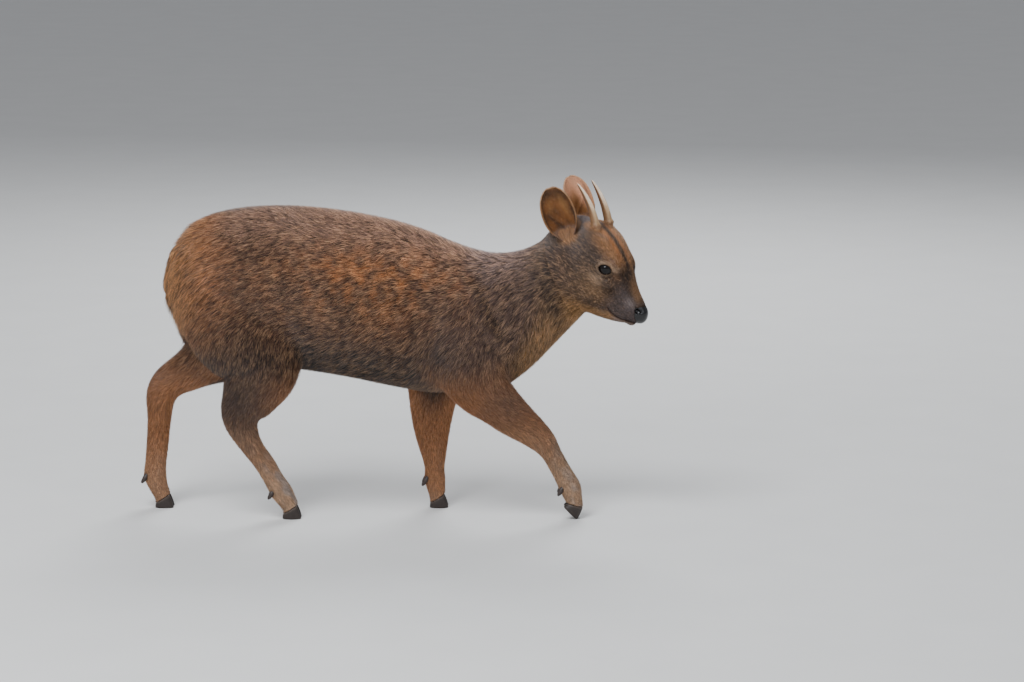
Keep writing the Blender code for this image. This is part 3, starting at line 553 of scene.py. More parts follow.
def tail_share(points):
    """1 on the stub of the tail, 0 elsewhere."""
    top, run = np.array(TAIL_TOP), np.array(TAIL_TIP - TAIL_TOP)
    along = np.clip((points - top) @ run / (run @ run), 0.0, 1.0)
    away = np.linalg.norm(points - top - along[:, None] * run, axis=1)
    return ramp(-away, -0.0170, -0.0110)


def leg_share(points):
    """0 on the trunk and 1 on the legs below the elbow and stifle."""
    off = np.abs(points[:, 0] - leg_line(points)[0][:, 0])
    return ramp(-points[:, 2], -0.235, -0.165) * ramp(-off, -0.068, -0.046)


def coat_depth(points):
    """How far the skin lies under the tips of the coat."""
    head = head_share(points)
    local = head_places(points)
    face = ramp(local[:, 0], -0.120, -0.020)
    leg = leg_share(points)
    low = ramp(-points[:, 2], -0.150, -0.030)
    body = BODY_DEPTH + 0.0040 * rump_share(points)
    limb = LEG_DEPTH - 0.0020 * low
    depth = body + (limb - body) * leg
    neck = ramp(points[:, 0], 0.10, 0.22) * ramp(points[:, 2], 0.16, 0.24)
    depth = depth - 0.0012 * neck * (1 - leg)
    depth += (HEAD_DEPTH - 0.0014 * face - depth) * head
    depth += (LEG_DEPTH - depth) * tail_share(points)
    thin = np.maximum(ramp(-eye_away(local), -0.0260, -0.0135), ramp(-pad_depth(local), -1.45, -1.18))
    return depth + (BARE_DEPTH - depth) * thin * head


# Skin

def mirrored(place, side):
    """A place in the head's frame, on the left for side 1 and on the right for side -1."""
    return Vector((place[0], place[1] * side, place[2]))


def in_place(things):
    """Moves meshes from the head's own frame into the model."""
    for thing in things:
        thing.data.transform(head_matrix())
    return things


def skull_forms():
    """The big forms of the head, placed in the model."""
    forms = [loft("skull", head_rings())]
    for side in (1, -1):
        turn = Matrix.Rotation(BROW_YAW * side, 4, "Z")
        narrow = Matrix.Rotation(CHEEK_YAW * side, 4, "Z")
        tip = Matrix.Rotation(BROW_TIP, 4, "Y")
        for name, place, radii, lie in (
            ("brow", (-0.076, 0.0192, 0.0225), (0.021, 0.0105, 0.0085), turn @ tip),
            ("cheek", (-0.094, 0.0215, -0.0240), (0.046, 0.0082, 0.0310), narrow),
            ("cheekbone", (-0.082, 0.0210, -0.0060), (0.032, 0.0080, 0.0100), turn),
            ("lip_side", (-0.0260, 0.0100, -0.0215), (0.0160, 0.0072, 0.0080), turn),
            ("ear_root", (-0.1460, 0.0245, -0.0120), (0.0160, 0.0125, 0.0130), turn),
            ("ear_base", (-0.1430, 0.0295, -0.0175), (0.0180, 0.0135, 0.0145), turn),
        ):
            forms.append(ellipsoid(name, mirrored(place, side), radii, lie))
    forms.append(ellipsoid("poll", Vector((-0.1400, 0.0, 0.0140)), (0.024, 0.024, 0.0150)))
    return in_place(forms)


def face_forms():
    """The small forms of the head, placed in the model."""
    forms = []
    for side in (1, -1):
        lid = EYE_RADIUS + LID_THICKNESS
        for name, place, radii in (
            ("upper_lip", (-0.0130, 0.0070, -0.0165), (0.0125, 0.0070, 0.0070)),
            ("nostril_wing", (-0.0062, 0.0066, -0.0070), (0.0068, 0.0052, 0.0058)),
            ("lid", EYE_PLACE, (lid, lid, lid)),
            ("pedicle", ANTLER_ROOT + Vector((0.003, 0.0, -0.006)),
             (PEDICLE_RADIUS, PEDICLE_RADIUS, 0.0110)),
        ):
            forms.append(ellipsoid(name, mirrored(place, side), radii))
    forms.append(ellipsoid("chin", Vector((-0.0122, 0.0, -0.0258)), (0.0108, 0.0088, 0.0076)))
    forms.append(ellipsoid("front_lip", Vector((-0.0060, 0.0, -0.0205)), (0.0068, 0.0075, 0.0045)))
    forms.append(ellipsoid("nose", NOSE_PAD, NOSE_PAD_RADII, Matrix.Rotation(NOSE_PAD_TILT, 4, "Y")))
    return in_place(forms)


def lid_opening(side):
    """The opening between the lids: a lens-shaped block that points out of the eye."""
    reach, steps = 0.03, 20
    upper = []
    for k in range(steps + 1):
        x = -LID_LONG + 2 * LID_LONG * k / steps
        upper.append((x, math.sqrt(LID_BOW**2 - x**2) - LID_BOW + LID_SHORT))
    outline = upper + [(x, -z * LID_LOWER) for x, z in reversed(upper[1:-1])]
    rings = []
    for depth, size in ((0.0, 0.6), (EYE_RADIUS, 1.0), (reach, 1.9)):
        rings.append([(x * size, depth, z * size) for x, z in outline])
    block = loft("opening", rings)
    out = Matrix.Rotation(LID_YAW * side, 4, "Z")
    tilt = Matrix.Rotation(LID_TILT, 4, "Y")
    flip = Matrix.Diagonal((1.0, side, 1.0, 1.0))
    block.data.transform(Matrix.Translation(mirrored(EYE_PLACE, side)) @ out @ flip @ tilt)
    if side < 0:
        block.data.flip_normals()
    return block


def nostril_pit(side):
    """A comma-shaped pit: two balls along a slanting line."""
    slant = Matrix.Rotation(NOSTRIL_SLANT * side, 4, "X")
    turn = slant @ Matrix.Rotation(NOSTRIL_TILT, 4, "Y")
    at = mirrored(NOSTRIL_PLACE, side)
    behind = at + Vector((-0.0040, 0.0016 * side, 0.0024))
    return [
        ellipsoid("nostril", at, (0.0050, 0.0036, 0.0033), turn),
        ellipsoid("nostril_tail", behind, (0.0034, 0.0022, 0.0014), turn),
    ]


# The line of the mouth in the head's own frame: places along it and their heights
MOUTH_LINE = (
    (0.006, -0.0215), (-0.004, -0.0228), (-0.012, -0.0262), (-0.020, -0.0308),
    (-0.028, -0.0334), (-0.036, -0.0334), (-0.042, -0.0316),
)


def mouth_level(x):
    """How high the line of the mouth lies at places along the head."""
    line = smooth_rows(MOUTH_LINE, 60)[::-1]
    return np.interp(x, line[:, 0], line[:, 1])


def face_relief(points):
    """How far the head's skin is sunk for the mouth and the folds round the eye."""
    local = head_places(points)
    x, y, z = folded(local).T
    level = mouth_level(x)
    along = ramp(x, -0.047, -0.040) * ramp(-z, 0.010, 0.016)
    sunk = 0.0019 * bump_at(z - level, 0.0012) * along
    sunk -= 0.0007 * bump_at(z - level - 0.0030, 0.0022) * along
    eye_x, _, eye_z = EYE_PLACE
    rim = lid_away(local)
    near = ramp(y, 0.016, 0.022) * ramp(-eye_away(local), -0.030, -0.024)
    below = ramp(eye_z - z, -0.002, 0.006)
    sunk += 0.0007 * bump_at(rim - 0.0052, 0.0018) * near * below
    sunk += 0.0009 * bump_at(rim - 0.0100, 0.0018) * near * below
    gland = bump_at(np.hypot(x - eye_x - 0.0185, (z - eye_z - 0.0010) * 1.3), 0.0050)
    base = bump_at(np.linalg.norm(folded(local) - np.array(EAR_HOLLOW), axis=1), 0.0095)
    return sunk + 0.0014 * gland + 0.0046 * base * ramp(-local[:, 1], -0.010, 0.010)


def off_crease(x, z):
    """How far places lie before the slanting crease between neck and shoulder."""
    return x - (0.103 + (0.335 - z) * 0.50)


def body_relief(points):
    """How far the body's skin is sunk along its folds and raised over its muscles."""
    x, y, z = points.T
    flank = ramp(np.abs(y), 0.020, 0.050)
    crease = bump_at(off_crease(x, z), 0.010) * ramp(z, 0.235, 0.265) * ramp(-z, -0.345, -0.320)
    shoulder = bump_at(np.hypot(x - 0.062, (z - 0.270) * 0.8), 0.038)
    elbow = bump_at(np.hypot(x - 0.045, z - 0.195), 0.018)
    thigh = bump_at(np.hypot(x + 0.215, (z - 0.265) * 0.8), 0.050)
    fold = bump_at(x + 0.128 + (z - 0.235) * 0.55, 0.012)
    fold = fold * ramp(z, 0.200, 0.225) * ramp(-z, -0.300, -0.260)
    sunk = 0.0030 * crease - 0.0022 * shoulder - 0.0015 * elbow - 0.0022 * thigh + 0.0026 * fold
    return flank * sunk


def make_body_skin():
    """The body's skin, from the neck back, open where the head's skin takes over."""
    forms = [loft("trunk", trunk_rings())]
    for name, (stations, _, _) in LEGS.items():
        forms.append(loft(name, leg_rings(stations)))
    forms += skull_forms()
    run = TAIL_TIP - TAIL_TOP
    lie = run.to_track_quat("Z", "X").to_matrix()
    radii = (TAIL_HALF_DEPTH, TAIL_HALF_WIDTH, run.length / 2)
    forms.append(ellipsoid("tail", (TAIL_TOP + TAIL_TIP) / 2, radii, lie))
    body = fused(joined("body_skin", forms), BODY_VOXEL, BODY_SMOOTH)
    point, normal = HEAD_FROM_NECK
    kept_half(body, point, -normal, -0.002)
    for _, _, foot in LEGS.values():
        trim_foot(body, foot)
    return body


def foot_matrix(x, y, z, pitch):
    """Places a foot's own frame, with its origin on the sole, pitched toe down."""
    turn = Matrix.Rotation(math.radians(pitch), 4, "Y")
    return Matrix.Translation((x, y, z)) @ turn @ Matrix.Translation((0.0, 0.0, -CORONET))


def trim_foot(body, foot):
    """Cuts the flesh of one leg off at its coronet."""
    place = foot_matrix(*foot)
    level = place @ Vector((0.0, 0.0, CORONET))
    slant = (place.to_3x3() @ Vector((-CORONET_SLANT, 0.0, 1.0))).normalized()
    form = bmesh.new()
    form.from_mesh(body.data)
    near = [face for face in form.faces if (face.calc_center_median() - level).length < FOOT_REACH]
    parts = dict.fromkeys(part for face in near for part in (*face.verts, *face.edges))
    cut = bmesh.ops.bisect_plane(
        form, geom=list(parts) + near,
        plane_co=level + slant * 0.0004, plane_no=-slant, clear_outer=True,
    )
    rim = [item for item in cut["geom_cut"] if isinstance(item, bmesh.types.BMEdge)]
    bmesh.ops.holes_fill(form, edges=rim, sides=0)
    form.to_mesh(body.data)
    form.free()


def make_head_skin():
    """The head's skin at full fineness, with its lids, nostrils, lips and folds."""
    rings = trunk_rings()
    neck = loft("neck_end", rings[len(rings) * NECK_FROM // len(TRUNK):])
    base = fused(joined("skull_form", [neck] + skull_forms()), SKULL_VOXEL, SKULL_SMOOTH)
    head = fused(joined("head_form", [base] + face_forms()), HEAD_VOXEL, HEAD_SMOOTH)
    point, normal = HEAD_FROM_NECK
    kept_half(head, point, normal, -0.002)
    co = places(head.data)
    way = normals(head.data)
    co -= way * (coat_depth(co) + face_relief(co))[:, None]
    put_places(head.data, co)
    for side in (1, -1):
        ball = ellipsoid("socket", mirrored(EYE_PLACE, side), (EYE_RADIUS + 0.0002,) * 3)
        cut_away(head, *in_place(nostril_pit(side) + [lid_opening(side), ball]))
    return head


def ear_ways(side):
    """In the head's frame: the ear's root and its ways to the tip, where it opens, and across."""
    axis = EAR_AXIS[side].normalized()
    opens = (EAR_OPENS[side] - axis * EAR_OPENS[side].dot(axis)).normalized()
    root = mirrored(EAR_PLACE[side], side) - axis * EAR_SUNK[side]
    return root, (axis, opens, axis.cross(opens))


def ear_frame(side):
    """The ear's root and its three ways in the model."""
    root, ways = ear_ways(side)
    turn = head_matrix().to_3x3()
    return np.array(head_matrix() @ root), [np.array(turn @ way) for way in ways]


def ear_leaf(side, rows=44, columns=41):
    """The ear's sheet, cupped and ribbed, with its rim turned a little in."""
    root, (axis, opens, across) = ear_ways(side)
    first_radius = EAR_ROWS[0][1]
    shares = np.array([row[0] for row in EAR_ROWS])
    table = smooth_rows(EAR_ROWS, 10 * len(EAR_ROWS))
    form = bmesh.new()
    grid = []
    for step in np.linspace(0.0, 1.0, rows):
        share = 1.0 - (1.0 - step) ** 1.25
        at = np.interp(share, shares, np.linspace(0, len(table) - 1, len(EAR_ROWS)))
        _, radius, half_angle = table[int(round(at))]
        row = []
        for k in range(columns):
            over = 2 * k / (columns - 1) - 1
            angle = math.radians(half_angle) * over
            rib = 0.0006 * math.cos(over * 4.5 * math.pi) * (1 - abs(over))
            rib *= math.sin(math.pi * min(share * 1.1, 1.0))
            turned_in = 0.0010 * max(abs(over) - 0.82, 0.0) / 0.18
            fold = bump_at(over - 1.65 * side * max(share - 0.20, 0.0), 0.13)
            fold += 0.6 * bump_at(over + side * (0.50 - 0.3 * share), 0.10)
            rib += 0.0017 * fold * ramp(share, 0.04, 0.14) * ramp(-share, -0.60, -0.40)
            reach = radius - rib
            forward = radius - reach * math.cos(angle) - first_radius * (1 - 0.5 * share) + turned_in
            aside = reach * math.sin(angle)
            place = root + axis * EAR_REACH * share + opens * forward + across * aside
            row.append(form.verts.new(place))
        grid.append(row)
    for lower, upper in zip(grid, grid[1:]):
        for k in range(columns - 1):
            form.faces.new((lower[k], lower[k + 1], upper[k + 1], upper[k]))
    leaf = form_object("ear", form)
    shell = leaf.modifiers.new("shell", "SOLIDIFY")
    shell.thickness = EAR_THICKNESS
    shell.offset = 0.0
    return settled(leaf)


def pad_depth(local):
    """How far places in the head's frame lie from the nose pad's middle: 1 on its ball."""
    turn = np.array(Matrix.Rotation(NOSE_PAD_TILT, 3, "Y"))
    away = np.linalg.norm((local - np.array(NOSE_PAD)) @ turn / np.array(NOSE_PAD_RADII), axis=1)
    return away + 0.22 * ramp(local[:, 2], -0.003, 0.005)


def part_nose(head):
    """Parts the nose pad's faces off the head's skin as an object of its own."""
    nose = mesh_object("nose_pad", head.data.copy())
    for thing, wanted in ((head, False), (nose, True)):
        form = bmesh.new()
        form.from_mesh(thing.data)
        form.faces.ensure_lookup_table()
        centres = np.array([face.calc_center_median() for face in form.faces])
        inside = pad_depth(head_places(centres)) < NOSE_REACH
        spare = [face for face, hit in zip(form.faces, inside) if hit != wanted]
        bmesh.ops.delete(form, geom=spare, context="FACES")
        form.to_mesh(thing.data)
        form.free()
    return nose


# Colours

def tone(red, green, blue):
    """A display colour, 0 to 255, as the linear values that a shader takes."""
    value = np.array([red, green, blue]) / 255.0
    return np.where(value <= 0.04045, value / 12.92, ((value + 0.055) / 1.055) ** 2.4)


BROWN = tone(108, 75, 56)
BACK = tone(150, 116, 98)
RUFOUS = tone(190, 120, 68)
FRINGE = tone(222, 160, 104)
GREY_BROWN = tone(112, 91, 82)
NECK_TOP = tone(156, 132, 124)
TAWNY = tone(184, 124, 80)
TAN = tone(182, 138, 90)
PALE = tone(202, 168, 138)
LEG_SHEEN = tone(178, 164, 156)
FLECK = tone(232, 182, 136)
STREAK = tone(112, 94, 84)
DARK = tone(54, 40, 32)
FACE = tone(70, 54, 44)
FOREHEAD = tone(142, 100, 64)
TAWNY_BAND = tone(170, 106, 56)
STRIPE = tone(44, 32, 25)
BRIDGE = tone(118, 86, 58)
MUZZLE = tone(72, 61, 60)
LIP = tone(138, 124, 120)
RING = tone(176, 146, 118)
CROWN = tone(112, 102, 102)
COLLAR = tone(156, 110, 68)
MOUTH = tone(52, 30, 26)
EAR_BACK = tone(112, 84, 62)
EAR_BROWN = tone(78, 52, 33)
EAR_ORANGE = tone(116, 74, 41)
EAR_PINK = tone(232, 172, 136)
EAR_TAN = tone(150, 108, 66)
EAR_RIM = tone(176, 134, 96)
NOSE = tone(9, 8, 9)
FLOOR = tone(214, 213, 210)
EYE_BALL = tone(9, 8, 9)
EYE_IRIS = tone(20, 14, 12)
EYE_PUPIL = tone(6, 5, 6)
ANTLER_BACK = tone(98, 66, 40)
ANTLER_FRONT = tone(208, 174, 132)
ANTLER_PALE = tone(240, 222, 202)
ANTLER_LOW = tone(128, 98, 66)
ANTLER_GROOVE = tone(120, 82, 54)
ANTLER_BURR = tone(116, 80, 54)
CLAW = tone(44, 36, 33)
CLAW_TOP = tone(96, 82, 72)
CLAW_RING = tone(74, 62, 54)
NAIL = tone(52, 42, 38)


def from_pixel(x, y):
    """The place, forward and up, of a pixel of the photograph on the animal's near side."""
    return (x - PHOTO_ORIGIN[0]) * PIXEL, (PHOTO_ORIGIN[1] - y) * PIXEL_RISE


def near_pixel(points, pixel, width, tall=1.0):
    """A round patch about a pixel of the photograph, as wide as given, on both sides."""
    at_x, at_z = from_pixel(*pixel)
    return bump_at(np.hypot(points[:, 0] - at_x, (points[:, 2] - at_z) / tall), width)


def plain(colour, points):
    """The same colour on each of the points."""
    return np.tile(colour, (len(points), 1))


def paint(colour, target, share):
    """Blends a colour over what is there by one share for all points or by each point's own."""
    colour += (target - colour) * np.clip(np.reshape(share, (-1, 1)), 0.0, 1.0)


def markings(points, way):
    """The colour of the coat and skin at each point; `way` is the surface's outward way."""
    x, y, z = points.T
    colour = plain(BROWN, points)
    paint(colour, RUFOUS, 0.90 * ramp(-x, 0.190, 0.270) * ramp(z, 0.225, 0.29))
    patchy = ramp(0.6 * wander(points, 0.045, 81) + wander(points, 0.014, 82), -0.8, 1.4)
    paint(colour, RUFOUS, 0.80 * patchy * near_pixel(points, SADDLE_PIXEL, 0.150, 0.42))
    paint(colour, FRINGE, 0.92 * ramp(-x, 0.232, 0.304) * ramp(z, 0.24, 0.30))
    # Paler grey-brown on the upward-facing hair along the back: partly the back's own colour, partly
    # painted sky light
    upward = ramp(way[:, 2], 0.30, 0.80) * ramp(z, 0.30, 0.36)
    paint(colour, BACK, 0.9 * upward * (1 - 0.85 * ramp(-x, 0.20, 0.27)))
    trunk = 1 - leg_share(points)
    # Painted shade: the lower trunk a little darker, the low flank much darker, and the downward-facing
    # belly darkest, there partly its own dark brown
    paint(colour, DARK, 0.28 * ramp(-z, -0.345, -0.285) * ramp(0.09 - x, 0.0, 0.04) * trunk)
    low_flank = ramp(-z, -0.270, -0.205) * ramp(z, 0.150, 0.175) * ramp(x, -0.27, -0.19)
    paint(colour, DARK, 0.84 * low_flank * trunk)
    paint(colour, STRIPE, 0.72 * ramp(-way[:, 2], 0.20, 0.65) * ramp(0.06 - x, 0.0, 0.04) * trunk)
    neck = ramp(x, 0.085, 0.125) * ramp(z, 0.17, 0.22)
    paint(colour, GREY_BROWN, 0.8 * neck)
    # Paler grey on the upward-facing top of the neck: partly its own grey, partly painted sky light
    paint(colour, NECK_TOP, 0.9 * neck * ramp(-x, -0.205, -0.180) * ramp(way[:, 2], 0.25, 0.75))
    paint(colour, GREY_BROWN, 0.8 * near_pixel(points, SHOULDER_PIXEL, 0.055, 1.3))
    front = ramp(x - 0.105 - (z - 0.17) * 0.42, 0.020, 0.045) * ramp(x, 0.10, 0.14)
    paint(colour, TAN, 0.88 * front * ramp(-way[:, 2], -0.18, 0.40))
    paint(colour, TAN, 0.45 * near_pixel(points, CHEST_PIXEL, 0.026))
    paint(colour, TAN, 0.30 * ramp(-way[:, 2], 0.60, 0.95) * ramp(z, 0.12, 0.17) * ramp(x, 0.0, 0.08))
    leg = leg_share(points)
    paint(colour, TAWNY, 0.9 * leg)
    hind = ramp(-x, 0.05, 0.10)
    gaskin = hind * near_pixel(points, GASKIN_PIXEL, 0.050, 1.25) * ramp(-y, -0.01, 0.03)
    paint(colour, GREY_BROWN, 0.85 * gaskin)
    paint(colour, DARK, 0.66 * gaskin)
    paint(colour, GREY_BROWN, 0.55 * near_pixel(points, FOREARM_PIXEL, 0.038) * ramp(-y, 0.0, 0.03))
    cannon = ramp(-z, -0.125, -0.100) * ramp(z, 0.045, 0.065)
    paint(colour, STREAK, 0.60 * cannon * ramp(x, 0.10, 0.15) * ramp(way[:, 0], 0.35, 0.8))
    paint(colour, PALE, 0.30 * ramp(-z, -0.150, -0.110) * ramp(-y, -0.01, 0.02))
    # Painted shadow under the belly: the inner sides of the upper legs darker, the forelegs most
    inner = ramp(0.030 - np.abs(y), 0.000, 0.012) * ramp(z, 0.120, 0.160)
    paint(colour, DARK, (0.93 - 0.81 * hind) * leg * inner)
    far = ramp(y, -0.01, 0.01)
    browner = far * (0.45 + 0.35 * (1 - hind) * ramp(z, 0.016, 0.03))
    paint(colour, PALE, 0.74 * ramp(-z, -0.115, -0.028) * (1 - browner))
    # Paler grey patches on the front of the near lower legs: painted sheen of the wet hair
    sheen_patches = ramp(wander(points, 0.022, 83), -0.3, 0.9) * ramp(-z, -0.125, -0.040) * ramp(-y, -0.04, 0.02)
    paint(colour, LEG_SHEEN, 0.76 * sheen_patches * ramp(way[:, 0], -0.6, 0.4))
    paint(colour, PALE, 0.40 * near_pixel(points, CANNON_PIXEL, 0.020, 1.3) * ramp(-y, 0.0, 0.02))
    # Painted shade along the slanting crease between neck and shoulder
    fold = bump_at(off_crease(x, z), 0.009) * ramp(z, 0.235, 0.262) * ramp(-z, -0.345, -0.320)
    paint(colour, DARK, 0.55 * fold)
    head = head_share(points)
    if head.max() > 0:
        paint(colour, head_markings(points), head)
    nape = bump_at(x - 0.200 - (0.353 - z) * 0.27, 0.0105)
    nape = nape * ramp(z, 0.258, 0.285) * ramp(-z, -0.380, -0.355)
    paint(colour, DARK, 0.76 * nape * ramp(np.abs(y + 0.02), 0.012, 0.030))
    paint(colour, DARK, 0.55 * near_pixel(points, JAW_BACK_PIXEL, 0.017, 1.7))
    local = head_places(points)
    base = np.linalg.norm(folded(local) - np.array(EAR_FOOT), axis=1)
    paint(colour, EAR_BACK, 0.70 * ramp(-base, -0.0265, -0.0185))
    before = ramp(local[:, 0], -0.164, -0.148) * ramp(0.020 - local[:, 2], 0.0, 0.010)
    paint(colour, COLLAR, 0.85 * ramp(-base, -0.0245, -0.0170) * before)
    return colour


# The dark roots of the whiskers on each side of the muzzle: places along it and their heights
WHISKER_SPOTS = (
    (-0.0250, -0.0080), (-0.0300, -0.0050), (-0.0350, -0.0085), (-0.0400, -0.0120),
    (-0.0240, -0.0140), (-0.0290, -0.0125), (-0.0340, -0.0155), (-0.0390, -0.0190),
    (-0.0225, -0.0195), (-0.0275, -0.0200), (-0.0325, -0.0225),
)


def head_levels(x):
    """The top and the bottom of the head at places along it."""
    rows = np.array(HEAD)[::-1]
    return [np.interp(x, rows[:, 0], rows[:, k]) for k in (1, 2)]


def head_markings(points):
    """The colours of the head, worked out in its own frame."""
    local = head_places(points)
    x, side, z = folded(local).T
    top, low = head_levels(x)
    high = ramp(z - top, -0.024, -0.006)
    colour = plain(FACE, points)
    eye_x, _, eye_z = EYE_PLACE
    near = ramp(side, 0.012, 0.018)
    brow = high * ramp(-x, 0.046, 0.066) * ramp(x, -0.126, -0.112)
    paint(colour, FOREHEAD, brow)
    grizzled = ramp(wander(points, 0.016, 91), 0.1, 0.9) * ramp(side, 0.010, 0.022)
    paint(colour, GREY_BROWN, 0.50 * brow * grizzled)
    paint(colour, CROWN, 0.9 * ramp(z - top, -0.034, -0.014) * ramp(-x, 0.124, 0.136))
    paint(colour, CROWN, 0.30 * bump_at(np.hypot(x + 0.130, z - 0.004), 0.020))
    paint(colour, BRIDGE, ramp(z - top, -0.009, -0.003) * ramp(x, -0.066, -0.050) * ramp(-x, 0.010, 0.024))
    paint(colour, MUZZLE, 0.9 * ramp(x, -0.056, -0.038) * ramp(-(z - top), 0.006, 0.014))
    paint(colour, TAN, 0.26 * bump_at(np.hypot((x + 0.070) * 0.7, z + 0.026), 0.016))
    paint(colour, TAN, 0.75 * ramp(-(z - low), -0.022, -0.006) * ramp(-x, 0.020, 0.050))
    # A pale grey patch on the upper lip: partly its own colour, partly a painted highlight
    lip = bump_at(np.hypot(x + 0.0230, (z + 0.0050) * 1.2), 0.0080)
    paint(colour, LIP, 0.50 * lip * ramp(side, 0.004, 0.010) * (1 + 0.5 * wander(points, 0.004, 94)))
    for at_x, at_z in WHISKER_SPOTS:
        spot = bump_at(np.hypot(x - at_x, z - at_z), 0.0011)
        paint(colour, STRIPE, 0.75 * spot * ramp(side, 0.006, 0.010))
    rim = lid_away(local)
    over = 0.70 + 0.30 * ramp(z - eye_z, 0.000, 0.006)
    uneven = 0.75 + 0.25 * wander(points, 0.009, 93)
    paint(colour, RING, 0.80 * bump_at(rim - 0.0036, 0.0030) * near * over * uneven)
    cheek = bump_at(np.hypot(x - eye_x - 0.004, (z - eye_z + 0.0185) * 1.2), 0.0085)
    paint(colour, RING, 0.66 * cheek * near)
    paint(colour, RING, 0.75 * bump_at(np.hypot(x + 0.0640, z - 0.0180), 0.0042) * near)
    paint(colour, STRIPE, 0.85 * bump_at(np.hypot(x + 0.0662, z - 0.0112), 0.0030) * near)
    # Painted shade in the two folds under the eye
    fold = np.maximum(bump_at(rim - 0.0100, 0.0013), 0.8 * bump_at(rim - 0.0165, 0.0014))
    under = ramp(eye_z - z, 0.000, 0.008) * ramp(x - eye_x, -0.012, -0.002)
    paint(colour, DARK, 0.60 * fold * near * under)
    paint(colour, STRIPE, 0.95 * ramp(-rim, -0.0014, -0.0006) * near)
    middle = np.abs(local[:, 1] + STRIPE_ASIDE)
    crown = ramp(-x, 0.036, 0.056) * ramp(x, -0.130, -0.116) * ramp(z - top, -0.02, -0.01)
    paint(colour, TAWNY_BAND, 0.75 * bump_at(middle - 0.0100, 0.0042) * crown * ramp(-x, 0.062, 0.080))
    ragged = 0.0057 + 0.0012 * wander(points, 0.010, 92)
    paint(colour, STRIPE, 0.98 * bump_at(middle, ragged) * crown)
    paint(colour, BRIDGE, 0.60 * bump_at(local[:, 1] - 0.0150, 0.0060) * crown)
    gland = bump_at(np.hypot((x + 0.0500) * 0.42, z - 0.0158 + (x + 0.0500) * 0.31), 0.0074)
    paint(colour, STRIPE, 0.96 * gland * ramp(side, 0.006, 0.012))
    paint(colour, COLLAR, 0.95 * bump_at(antler_away(local) - 0.006, 0.0065))
    level = mouth_level(x)
    along = ramp(x, -0.047, -0.040) * ramp(-z, 0.010, 0.016)
    below = ramp(x, -0.045, -0.030) * ramp(level - z, 0.000, 0.003)
    paint(colour, TAN, 0.6 * below)
    paint(colour, LIP, 0.70 * below * ramp(x, -0.034, -0.020))
    paint(colour, MOUTH, 0.97 * bump_at(z - level, 0.0019) * along)
    paint(colour, STRIPE, 0.8 * bump_at(pad_depth(local) - NOSE_REACH, 0.05))
    jaw_back = bump_at(x + 0.128 - (z + 0.05) * 0.3, 0.0100) * ramp(-z, 0.010, 0.030)
    paint(colour, DARK, 0.55 * jaw_back)
    return colour


# Coat

def wander(points, size, seed):
    """A smooth field of about -1 to 1 whose waves are about `size` long."""
    rng = np.random.default_rng(seed)
    total = np.zeros(len(points))
    for _ in range(6):
        way = rng.normal(size=3)
        way *= 2 * math.pi / (size * rng.uniform(0.7, 1.5) * np.linalg.norm(way))
        total += np.sin(points @ way + rng.uniform(0, 2 * math.pi))
    return total / 2.4


def leg_line(points):
    """The middle line of each point's own leg at its height, and the line's downward way."""
    middle = np.zeros((len(points), 2))
    down = np.zeros((len(points), 3))
    for name, (stations, side, _) in LEGS.items():
        mine = (points[:, 1] * side > 0) & ((points[:, 0] < -0.06) == name.startswith("hind"))
        rows = smooth_rows(stations, 60)[::-1]
        run = unit(np.gradient(rows[:, :3], axis=0)) * -1
        z = points[mine, 2]
        for k in range(2):
            middle[mine, k] = np.interp(z, rows[:, 2], rows[:, k])
        for k in range(3):
            down[mine, k] = np.interp(z, rows[:, 2], run[:, k])
    return middle, down


def coat_lie(points, way):
    """The way the hair points at each place, along the surface."""
    x, _, z = points.T
    lie = np.tile(np.array([-1.0, 0.0, -0.30]), (len(points), 1))
    for target, share in (
        ((-0.50, 0.0, -1.00), ramp(-x, 0.200, 0.290)),
        ((-0.40, 0.0, -1.00), ramp(-x, 0.100, 0.170) * ramp(-z, -0.300, -0.240)),
        ((-0.60, 0.0, -0.80), ramp(x, -0.010, 0.050) * ramp(-z, -0.330, -0.260)),
        ((-0.78, 0.0, -0.62), ramp(x, 0.080, 0.140) * ramp(z, 0.200, 0.260)),
        ((-0.30, 0.0, -1.00), ramp(x - 0.100 - (z - 0.17) * 0.42, 0.015, 0.045)),
    ):
        lie += (np.array(target) - lie) * share[:, None]
    lie += (leg_line(points)[1] - lie) * leg_share(points)[:, None]
    back = np.array(head_matrix().to_3x3()) @ np.array([-1.0, 0.0, 0.0])
    lie += (back - lie) * head_share(points)[:, None]
    away = ear_away(head_places(points))
    for side in (1, -1):
        up = ear_frame(side)[1][0]
        mine = ramp(-away, -0.0280, -0.0170) * (head_places(points)[:, 1] * side > 0)
        lie += (up - lie) * mine[:, None]
    lie = unit(lie)
    turn = 0.16 * wander(points, 0.070, 11) + 0.07 * wander(points, 0.018, 12)
    aside = np.cross(way, lie)
    lie = lie + aside * (turn * (1 - 0.6 * head_share(points)))[:, None]
    return unit(lie - way * (lie * way).sum(axis=1)[:, None])


def coat_length(points):
    """How long the hair is."""
    x, _, z = points.T
    length = BODY_HAIR + 0.0110 * rump_share(points) - 0.0020 * ramp(x, 0.08, 0.14)
    low = ramp(-z, -0.150, -0.030)
    leg = leg_share(points)
    length += (LEG_HAIR - 0.0048 * low - length) * leg
    local = head_places(points)
    face = HEAD_HAIR + 0.0050 * ramp(-local[:, 0], 0.030, 0.130) + 0.0050 * collar_share(local)
    face -= 0.0012 * ramp(-eye_away(local), -0.0190, -0.0150)
    return length + (face - length) * head_share(points)


def coat_density(points):
    """How many tufts grow on a square metre."""
    limb = leg_share(points)
    head = head_share(points)
    local = head_places(points)
    trunk = BODY_TUFTS + 180000 * limb
    face = HEAD_TUFTS + 900000 * ramp(local[:, 0], -0.090, -0.020)
    return trunk + (face - trunk) * head


def tuft_width(points):
    """How wide a tuft is at its root."""
    return 0.00048 + 0.044 * coat_length(points)


